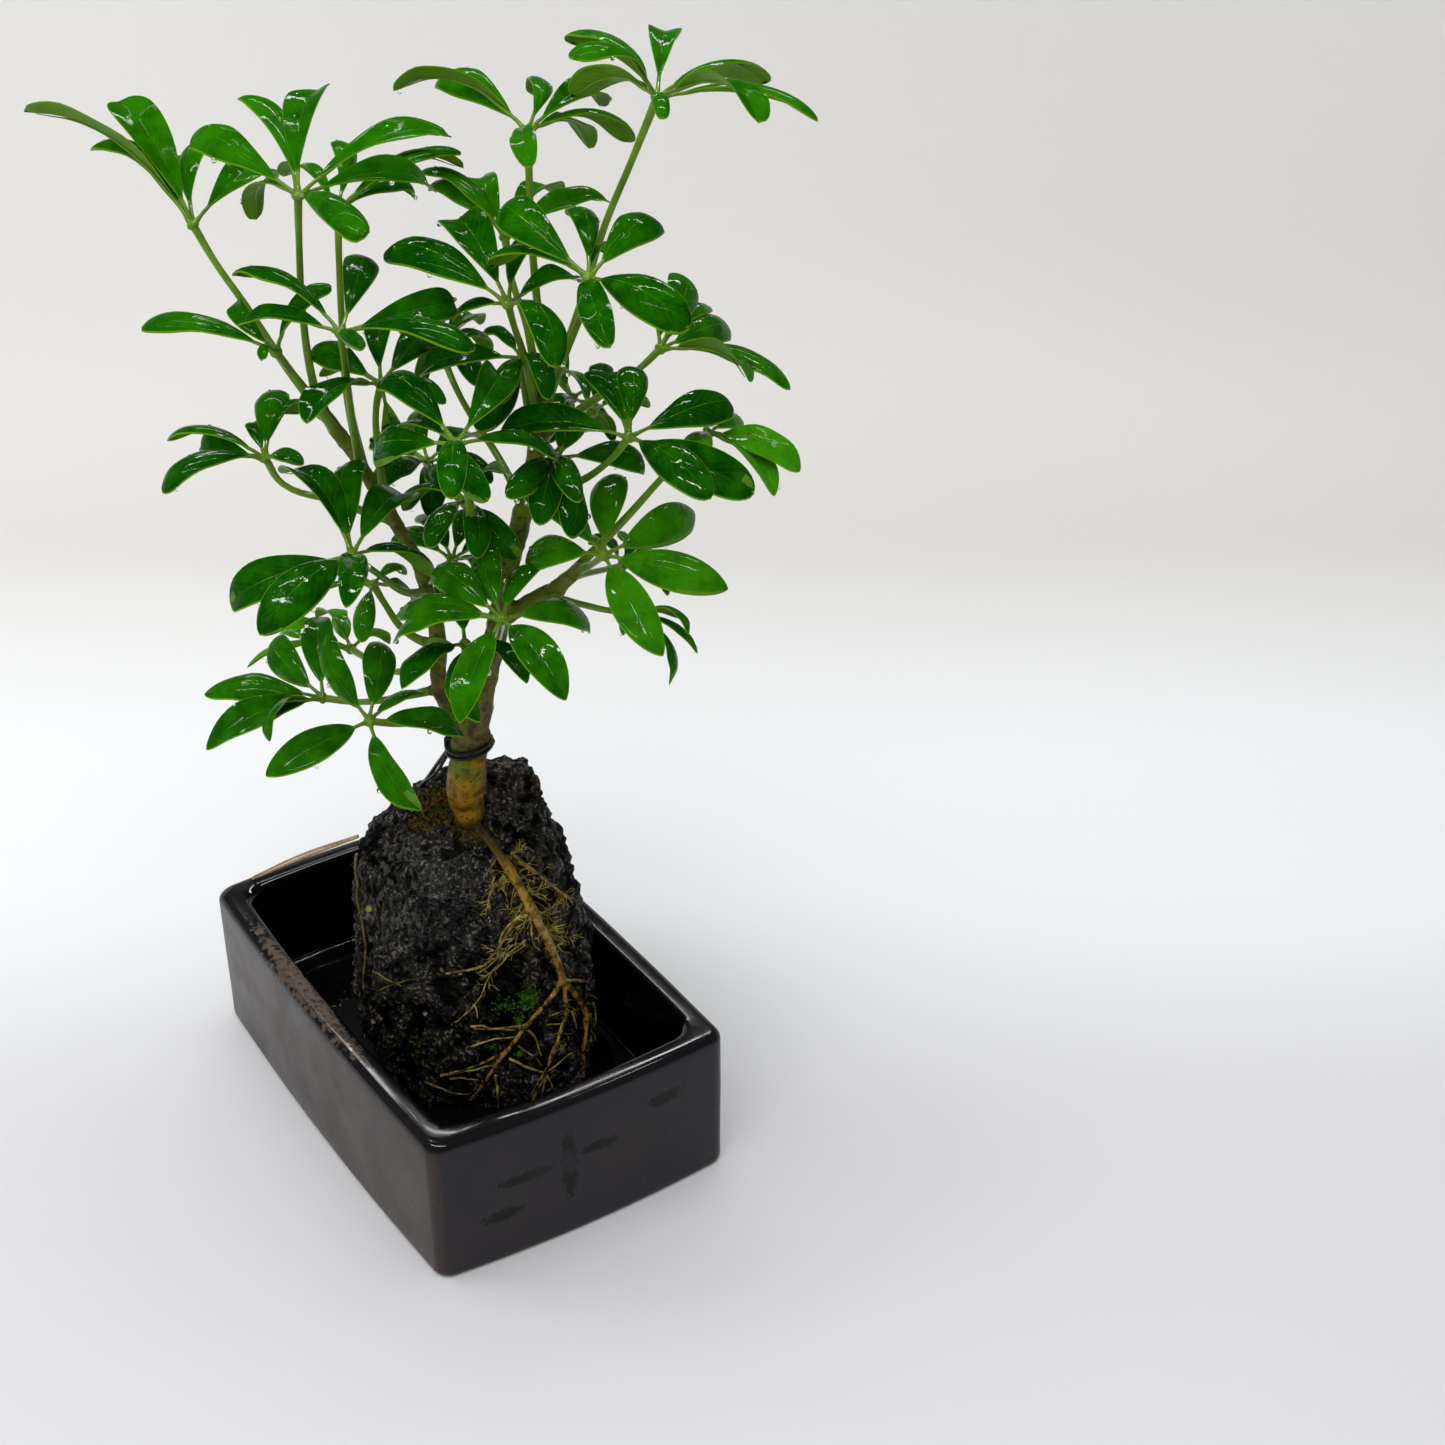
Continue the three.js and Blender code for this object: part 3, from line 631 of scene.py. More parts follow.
@dataclass(frozen=True)
class BarkFinish:
    """Bark that turns from wet ochre at the foot to olive-brown twigs, and darker along the roots."""

    ochre: Colour = (0.085, 0.045, 0.001)
    honey: Colour = (0.25, 0.14, 0.006)
    amber: Colour = (0.33, 0.19, 0.032)
    brown: Colour = (0.065, 0.044, 0.018)
    grey: Colour = (0.12, 0.105, 0.02)
    olive: Colour = (0.12, 0.135, 0.02)
    moss: Colour = (0.10, 0.15, 0.008)
    dark: Colour = (0.012, 0.008, 0.004)
    fresh: Colour = (0.46, 0.39, 0.09)
    fresh_dark: Colour = (0.12, 0.10, 0.014)
    straw_dark: Colour = (0.20, 0.12, 0.045)
    straw_pale: Colour = (0.42, 0.31, 0.15)
    root_top: float = 90 * MM
    foot_top: float = 151 * MM
    grey_top: float = 176 * MM
    blend: float = 20 * MM

    def material(self) -> Material:
        """Makes the bark of trunk, branches and thick roots.

        Returns:
            The material.
        """
        nodes = Nodes("bark")
        wander = nodes.math("MULTIPLY_ADD", nodes.noise(9 * MM), 12 * MM, -6 * MM)
        height = nodes.plus(nodes.axis("Z"), wander)
        patches = nodes.patches(5 * MM, 0.35, 0.65, 4.0)
        foot = nodes.mix(patches, self.ochre, self.honey)
        mossy = nodes.patches(8 * MM, 0.48, 0.6)
        collar = nodes.times(nodes.span(height, self.foot_top - 14 * MM, self.foot_top), mossy)
        foot = nodes.mix(collar, foot, self.moss, 0.9)
        streak = nodes.patches(3 * MM, 0.44, 0.58, 4.0)
        root = nodes.mix(nodes.patches(11 * MM, 0.42, 0.62), self.brown, self.ochre)
        deep = nodes.span(height, 68 * MM, 40 * MM, 0.0, 0.7)
        root = nodes.mix(streak, nodes.mix(deep, root, self.dark), self.amber, 0.8)
        raised = nodes.span(height, self.root_top - self.blend, self.root_top + self.blend)
        colour = nodes.mix(raised, root, foot)
        golden = nodes.times(streak, nodes.span(height, 116 * MM, 104 * MM, 0.0, 0.85))
        colour = nodes.mix(golden, colour, self.amber)
        above = nodes.mix(mossy, nodes.mix(patches, self.grey, self.brown), self.moss, 0.6)
        colour = nodes.mix(nodes.span(height, self.foot_top, self.foot_top + 5 * MM), colour, above)
        joint = nodes.times(nodes.span(height, 126 * MM, 120 * MM), nodes.span(height, 110 * MM, 116 * MM))
        colour = nodes.mix(joint, colour, self.dark, 0.85)
        twig = nodes.mix(patches, self.olive, self.moss)
        colour = nodes.mix(nodes.span(height, self.grey_top, self.grey_top + 30 * MM), colour, twig)
        pores = nodes.span(nodes.cells(2.4 * MM), 0.12, 0.22, 1.0, 0.0)
        pores = nodes.times(pores, nodes.patches(5 * MM, 0.46, 0.56))
        colour = nodes.mix(pores, colour, self.dark, 0.8)
        stain = nodes.patches(3.5 * MM, 0.5, 0.64, 5.0)
        colour = nodes.mix(stain, colour, self.dark, 0.55)
        relief = nodes.minus(nodes.noise(1.3 * MM, 5.0), nodes.times(pores, 0.5))
        return nodes.dress(
            Base_Color=colour, Roughness=0.5, Normal=nodes.bump(relief, 0.4 * MM), Specular_IOR_Level=0.03,
            Coat_Weight=nodes.span(height, 135 * MM, 115 * MM, 0.2, 0.8), Coat_Roughness=0.13,
        )

    def rootlet(self) -> Material:
        """Makes the fine roots, yellow where they are fresh and brown where they are old.

        Returns:
            The material.
        """
        nodes = Nodes("rootlet")
        age = nodes.attribute("age")
        fresh = nodes.mix(nodes.patches(4 * MM, 0.38, 0.62), self.fresh_dark, self.fresh)
        old = nodes.mix(nodes.patches(5 * MM, 0.35, 0.65), self.dark, self.brown)
        colour = nodes.mix(age, fresh, old)
        relief = nodes.bump(nodes.noise(0.8 * MM), 0.1 * MM)
        return nodes.dress(
            Base_Color=colour, Roughness=0.5, Normal=relief, Specular_IOR_Level=0.05, Coat_Weight=0.3,
            Coat_Roughness=0.1,
        )

    def straw(self) -> Material:
        """Makes the dry twig on the rim.

        Returns:
            The material.
        """
        nodes = Nodes("straw")
        fibre = nodes.noise(1.5 * MM, 4.0)
        colour = nodes.mix(nodes.span(fibre, 0.3, 0.7), self.straw_dark, self.straw_pale)
        return nodes.dress(Base_Color=colour, Roughness=0.6, Normal=nodes.bump(fibre, 0.1 * MM))


@dataclass(frozen=True)
class StoneFinish:
    """Black porous lava with painted shade in its pits, pale grains on its tops that are partly a painted
    highlight, lighter near its top and painted light at its foot, brown in patches and wet down its front.
    """

    # Near black for the pits: painted shade.
    pit: Colour = (0.0008, 0.0006, 0.0006)
    black: Colour = (0.013, 0.0115, 0.010)
    # Pale grey of the grains on the raised tops, partly a painted highlight.
    grey: Colour = (0.24, 0.22, 0.195)
    dust: Colour = (0.17, 0.16, 0.125)
    soil: Colour = (0.07, 0.04, 0.012)
    algae: Colour = (0.035, 0.045, 0.010)
    wet_spot: Pixel = (470, 890)
    dust_spot: Pixel = (385, 880)
    soil_spot: Pixel = (540, 905)
    summit_spot: Pixel = (500, 778)
    yellow: Colour = (0.30, 0.27, 0.04)
    pale: Colour = (0.35, 0.28, 0.20)
    scraps: tuple[tuple[Pixel, float], ...] = (
        ((369, 909), 1.3 * MM), ((425, 1014), 0.8 * MM), ((373, 1021), 1.0 * MM), ((392, 1037), 0.7 * MM),
    )

    def material(self, seat: Callable[[Pixel], Vector]) -> Material:
        """Makes the stone.

        Args:
            seat: Gives the point of the rock behind a pixel.

        Returns:
            The material.
        """
        nodes = Nodes("lava_rock")
        shaded_hollow = nodes.attribute("shaded_hollow")
        grain = nodes.noise(1.1 * MM, 4.0)
        knobs = nodes.noise(3.5 * MM, 4.0)
        # The stone is painted near black where it lies low in its relief, in pits and recesses: painted
        # shade.
        raised = nodes.minus(nodes.plus(grain, knobs), nodes.times(shaded_hollow, 1.2))
        height = nodes.axis("Z")
        # Lighter near the top, and lighter near the foot as painted light where the tray shades the stone;
        # more pale grains go to both.
        ends = nodes.most(nodes.span(height, 98 * MM, 112 * MM), nodes.span(height, 48 * MM, 25 * MM))
        patches_and_lightened_ends = nodes.most(nodes.patches(9 * MM, 0.4, 0.62, 4.0), ends)
        black = nodes.mix(patches_and_lightened_ends, self.pit, self.black)
        colour = nodes.mix(nodes.span(raised, 0.55, 1.0), self.pit, black)
        # Pale grains only on the raised tops: partly real grit, partly a painted highlight.
        grains_and_lit_tops = nodes.times(nodes.patches(1.4 * MM, 0.5, 0.66, 4.0), nodes.span(raised, 0.7, 1.05))
        grains_and_lit_tops = nodes.times(grains_and_lit_tops, nodes.math("MULTIPLY_ADD", patches_and_lightened_ends, 0.8, 0.12))
        colour = nodes.mix(grains_and_lit_tops, colour, self.grey)
        wet = nodes.spot(seat(self.wet_spot), Vector((28 * MM, 28 * MM, 22 * MM)), 0.0, 0.35)
        dusty = nodes.spot(seat(self.dust_spot), Vector((14 * MM, 14 * MM, 40 * MM)), 0.0, 0.5)
        drawn = nodes.node("Mapping", {"Vector": nodes.here, "Scale": (1.0, 1.0, 0.25)}).outputs["Vector"]
        flecks = nodes.span(nodes.noise(1.6 * MM, 5.0, drawn), 0.48, 0.62)
        colour = nodes.mix(nodes.times(dusty, flecks), colour, self.dust, 0.45)
        soil = nodes.spot(seat(self.soil_spot), Vector((20 * MM, 20 * MM, 24 * MM)), 0.0, 0.5)
        summit = nodes.spot(seat(self.summit_spot), Vector((14 * MM, 14 * MM, 12 * MM)), 0.0, 0.5)
        soil = nodes.most(soil, summit)
        specks = nodes.patches(4.0 * MM, 0.5, 0.66, 4.0)
        colour = nodes.mix(nodes.times(soil, specks), colour, self.soil, 0.8)
        slime = nodes.times(nodes.patches(16 * MM, 0.5, 0.65), specks)
        colour = nodes.mix(slime, colour, self.algae, 0.5)
        for (pixel, radius), scrap in zip(self.scraps, (self.yellow, self.pale, self.pale, self.pale)):
            colour = nodes.mix(nodes.spot(seat(pixel), Vector((radius,) * 3), 0.0, 0.3), colour, scrap)
        damp = nodes.patches(8 * MM, 0.45, 0.6, 3.0, 0.0, 0.35)
        film = nodes.most(nodes.times(wet, nodes.span(knobs, 0.35, 0.6, 0.35, 1.0)), damp)
        grit = nodes.bump(nodes.noise(0.7 * MM, 2.0), 0.5 * MM, 1.0)
        fine = nodes.bump(grain, 1.1 * MM, 1.0, nodes.bump(knobs, 1.8 * MM, 0.8, grit))
        beads = nodes.times(nodes.span(nodes.cells(1.5 * MM), 0.0, 0.5, 1.0, 0.0), wet)
        gleam = nodes.bump(beads, 0.5 * MM, 1.0, nodes.bump(knobs, 0.9 * MM, 0.7))
        return nodes.dress(
            Base_Color=colour, Roughness=0.7, Normal=fine, Specular_IOR_Level=0.06, Coat_Weight=film,
            Coat_Roughness=0.07, Coat_IOR=1.45, Coat_Normal=gleam,
        )


@dataclass(frozen=True)
class MossFinish:
    """Bright green moss and the brown-green crust of soil and old moss."""

    bright: Colour = (0.07, 0.19, 0.003)
    deep: Colour = (0.015, 0.05, 0.002)
    earth_dark: Colour = (0.010, 0.006, 0.003)
    earth_pale: Colour = (0.15, 0.10, 0.02)
    faded: Colour = (0.04, 0.06, 0.01)

    def fresh(self) -> Material:
        """Makes the moss.

        Returns:
            The material.
        """
        nodes = Nodes("moss")
        colour = nodes.mix(nodes.patches(2 * MM, 0.35, 0.65), self.deep, self.bright)
        relief = nodes.bump(nodes.noise(0.6 * MM), 0.1 * MM)
        return nodes.dress(Base_Color=colour, Roughness=0.8, Normal=relief, Specular_IOR_Level=0.1)

    def crust(self) -> Material:
        """Makes the crust at the trunk's foot.

        Returns:
            The material.
        """
        nodes = Nodes("crust")
        earth = nodes.mix(nodes.patches(1.3 * MM, 0.42, 0.6, 4.0), self.earth_dark, self.earth_pale)
        colour = nodes.mix(nodes.patches(5 * MM, 0.5, 0.65), earth, self.faded)
        relief = nodes.bump(nodes.noise(0.7 * MM), 0.2 * MM)
        return nodes.dress(Base_Color=colour, Roughness=0.7, Normal=relief, Specular_IOR_Level=0.1)


@dataclass(frozen=True)
class GlazeFinish:
    """Dark satin glaze, wet in its interior and painted near black there as shade, with a lime crust on the
    left rim and wet smears outside.

    A smear has its place across the end wall and up it, and its reach along both, in millimetres.
    """

    body: Colour = (0.0185, 0.0162, 0.0208)
    warm: Colour = (0.023, 0.0195, 0.0215)
    # Near black for the tray's interior: painted shade.
    inside_shade: Colour = (0.0016, 0.0014, 0.0017)
    smear: Colour = (0.0022, 0.0018, 0.0022)
    dust: Colour = (0.037, 0.026, 0.020)
    lime: Colour = (0.082, 0.054, 0.036)
    clay: Colour = (0.10, 0.06, 0.04)
    # Pale blue-grey of the line at the water's level: a painted reflection.
    waterline_reflection: Colour = (0.10, 0.11, 0.11)
    crust_from: Pixel = (262, 935)
    crust_to: Pixel = (352, 1050)
    smear_spots: Rows = (
        (-24, 33, 11, 2.2), (-33, 20, 8, 2.6), (5, 34, 8, 2.2), (-7, 31, 3.5, 15.0), (32, 42, 8, 3.0),
    )

    def material(self, tray: "Tray") -> Material:
        """Makes the glaze.

        Args:
            tray: The tray, for the sizes that the patches follow.

        Returns:
            The material.
        """
        nodes = Nodes("glaze")
        x, y, z = (nodes.axis(name) for name in "XYZ")
        in_x = nodes.span(nodes.math("ABSOLUTE", x), tray.length / 2 - 6.5 * MM, tray.length / 2 - 8.5 * MM)
        in_y = nodes.span(nodes.math("ABSOLUTE", y), tray.width / 2 - 6.5 * MM, tray.width / 2 - 8.5 * MM)
        # The recess: the inner walls and floor, which are painted dark as shade below.
        shaded_hollow = nodes.times(in_x, in_y, nodes.span(z, 2 * MM, 5 * MM))
        facing = nodes.node("TexCoord", {}).outputs["Normal"]
        outward = nodes.plus(nodes.times(nodes.axis("X", facing), x), nodes.times(nodes.axis("Y", facing), y))
        shaded_hollow = nodes.most(shaded_hollow, nodes.span(outward, -8 * MM, -30 * MM))
        cloudy = nodes.patches(38 * MM, 0.35, 0.65, 4.0)
        colour = nodes.mix(cloudy, self.body, self.warm)
        dusty = nodes.span(y, 3.5 * MM - tray.width / 2, 2 * MM - tray.width / 2, 0.0, 0.9)
        dusty = nodes.times(dusty, nodes.patches(25 * MM, 0.3, 0.6, 5.0, 0.55, 1.0))
        dusty = nodes.times(dusty, nodes.span(z, tray.height, tray.height - 7 * MM))
        colour = nodes.mix(dusty, colour, self.dust)
        speck = nodes.span(nodes.cells(2.2 * MM), 0.05, 0.11, 1.0, 0.0)
        speck = nodes.times(speck, nodes.patches(6 * MM, 0.55, 0.6))
        colour = nodes.mix(speck, colour, self.lime, 0.35)
        broken = nodes.patches(12 * MM, 0.34, 0.52, 2.0, 0.3, 0.9)
        smears = nodes.times(self.smears(nodes, tray), broken)
        colour = nodes.mix(smears, colour, self.smear)
        rim = nodes.span(z, tray.height - 4 * MM, tray.height - 1.5 * MM)
        # Painted shade: the tray's interior is darkened to near black, and the rim's top most of the way to
        # the same colour.
        colour = nodes.mix(nodes.most(shaded_hollow, nodes.times(rim, 0.7)), colour, self.inside_shade)
        # A pale line round the tray's interior at the water's level: a painted reflection of the water's
        # edge.
        waterline_glint = nodes.times(nodes.span(z, 18.4 * MM, 18.8 * MM), nodes.span(z, 19.6 * MM, 19.2 * MM))
        waterline_glint = nodes.times(waterline_glint, shaded_hollow, nodes.patches(9 * MM, 0.35, 0.6))
        colour = nodes.mix(waterline_glint, colour, self.waterline_reflection, 0.8)
        crust = self.crust(nodes, tray)
        stains = nodes.patches(2.4 * MM, 0.36, 0.5, 4.0)
        colour = nodes.mix(nodes.times(crust, stains), colour, self.lime)
        foot = nodes.span(z, 0.3 * MM, 0.9 * MM, 1.0, 0.0)
        colour = nodes.mix(foot, colour, self.clay)
        mark = nodes.patches(22 * MM, 0.3, 0.7, 5.0, 0.26, 0.40)
        rough = nodes.minus(mark, nodes.times(nodes.most(shaded_hollow, smears), 0.16))
        rough = nodes.minus(rough, nodes.times(rim, 0.2))
        rough = nodes.plus(rough, nodes.times(crust, 0.3))
        ripple = nodes.bump(nodes.noise(18 * MM, 1.0), 0.3 * MM, 0.3)
        plain = nodes.minus(1.0, nodes.most(shaded_hollow, rim))
        grainy = nodes.times(nodes.noise(1.5 * MM, 2.0), plain)
        orange = nodes.bump(grainy, 0.06 * MM, 0.6, ripple)
        skin = nodes.bump(nodes.times(crust, stains), 0.25 * MM, 1.0, orange)
        return nodes.dress(
            Base_Color=colour, Roughness=rough, Normal=skin, Coat_Weight=0.1, Coat_Roughness=0.05,
            Specular_IOR_Level=0.15,
        )

    def crust(self, nodes: Nodes, tray: "Tray") -> Socket:
        """Gives the mask of the lime crust along the left rim.

        Args:
            nodes: The material under construction.
            tray: The tray.

        Returns:
            1 in the crust and 0 outside.
        """
        ends = [VIEW.level(pixel, tray.height) for pixel in (self.crust_from, self.crust_to)]
        run = ends[1] - ends[0]
        middle = (ends[0] + ends[1]) / 2
        radii = Vector((run.length / 2, 3.8 * MM, 8 * MM))
        return nodes.spot(middle, radii, math.atan2(run.y, run.x), 0.45)

    def smears(self, nodes: Nodes, tray: "Tray") -> Socket:
        """Gives the mask of the wet smears on the end wall.

        Args:
            nodes: The material under construction.
            tray: The tray.

        Returns:
            1 in the smears and 0 outside.
        """
        face = tray.length / 2 + tray.bow_short
        spots = []
        for across, height, reach, rise in self.smear_spots:
            centre = Vector((face, across * MM, height * MM))
            spots.append(nodes.spot(centre, Vector((9 * MM, reach * MM, rise * MM)), 0.0, 0.2))
        return nodes.most(*spots)


@dataclass(frozen=True)
class WaterFinish:
    """Clear water, in the tray and as drops."""

    tint: Colour = (0.03, 0.036, 0.033)
    murk: Colour = (0.012, 0.014, 0.012)
    clear: Colour = (0.98, 1.0, 0.98)
    faint: Colour = (0.92, 0.96, 0.93)
    ior: float = 1.33

    def pool(self) -> Material:
        """Makes the still water, with dust on it.

        Returns:
            The material.
        """
        nodes = Nodes("pool")
        ripple = nodes.bump(nodes.noise(16 * MM, 2.0), 0.5 * MM, 0.7)
        murk = nodes.mix(nodes.patches(20 * MM, 0.35, 0.65), self.murk, self.tint)
        return nodes.dress(
            Base_Color=murk, Roughness=0.03, IOR=self.ior, Transmission_Weight=0.9, Normal=ripple,
            Specular_IOR_Level=0.25,
        )

    def drop(self) -> Material:
        """Makes the drops.

        Returns:
            The material.
        """
        nodes = Nodes("drop")
        clear = nodes.mix(nodes.noise(1 * MM), self.faint, self.clear)
        return nodes.dress(Base_Color=clear, Roughness=0.01, IOR=self.ior, Transmission_Weight=1.0)


@dataclass(frozen=True)
class WireFinish:
    """Dull black anodised wire."""

    black: Colour = (0.012, 0.012, 0.013)
    worn: Colour = (0.06, 0.058, 0.055)

    def material(self) -> Material:
        """Makes the wire.

        Returns:
            The material.
        """
        nodes = Nodes("wire")
        rub = nodes.patches(2.5 * MM, 0.55, 0.72, 4.0)
        colour = nodes.mix(rub, self.black, self.worn, 0.6)
        rough = nodes.patches(1.2 * MM, 0.3, 0.7, 3.0, 0.3, 0.5)
        relief = nodes.bump(nodes.noise(0.9 * MM), 0.06 * MM)
        return nodes.dress(Base_Color=colour, Metallic=0.5, Roughness=rough, Normal=relief)


# The tree's plan


@dataclass(frozen=True)
class LeafPlan:
    """One compound leaf.

    Attributes:
        name: Its name.
        hub: The pixel where its leaflets meet.
        depth: The hub's depth in millimetres.
        reach: The length of a whole leaflet in millimetres.
        droop: How far tips hang below the hub, as a share of the leaflet's length.
        petiole: Its pixels down to its foot, which has its own depth.
        tips: The leaflets' tips: pixels, with a share of the reach where a leaflet has its own length.
        spoon: 0 for pointed ovals, as low down, and 1 for blunt spoons, as in the crown.
        youth: 0 for a grown leaf and 1 for a light young one.
        turn: How far its blades turn to the viewer, where that isn't the usual.
        tone: From 0 for dark to 1 for light.
    """

    name: str
    hub: Pixel
    depth: float
    reach: float
    droop: float
    petiole: Rows
    tips: Rows
    spoon: float = 0.5
    youth: float = 0.0
    turn: float | None = None
    tone: float = 0.32
    usual_turn: float = 0.25

    @cached_property
    def facing(self) -> float:
        """How far the blades turn to the viewer: usually not at all at the tree's back."""
        usual = self.usual_turn * smooth(-25, 20, self.depth)
        return usual if self.turn is None else self.turn


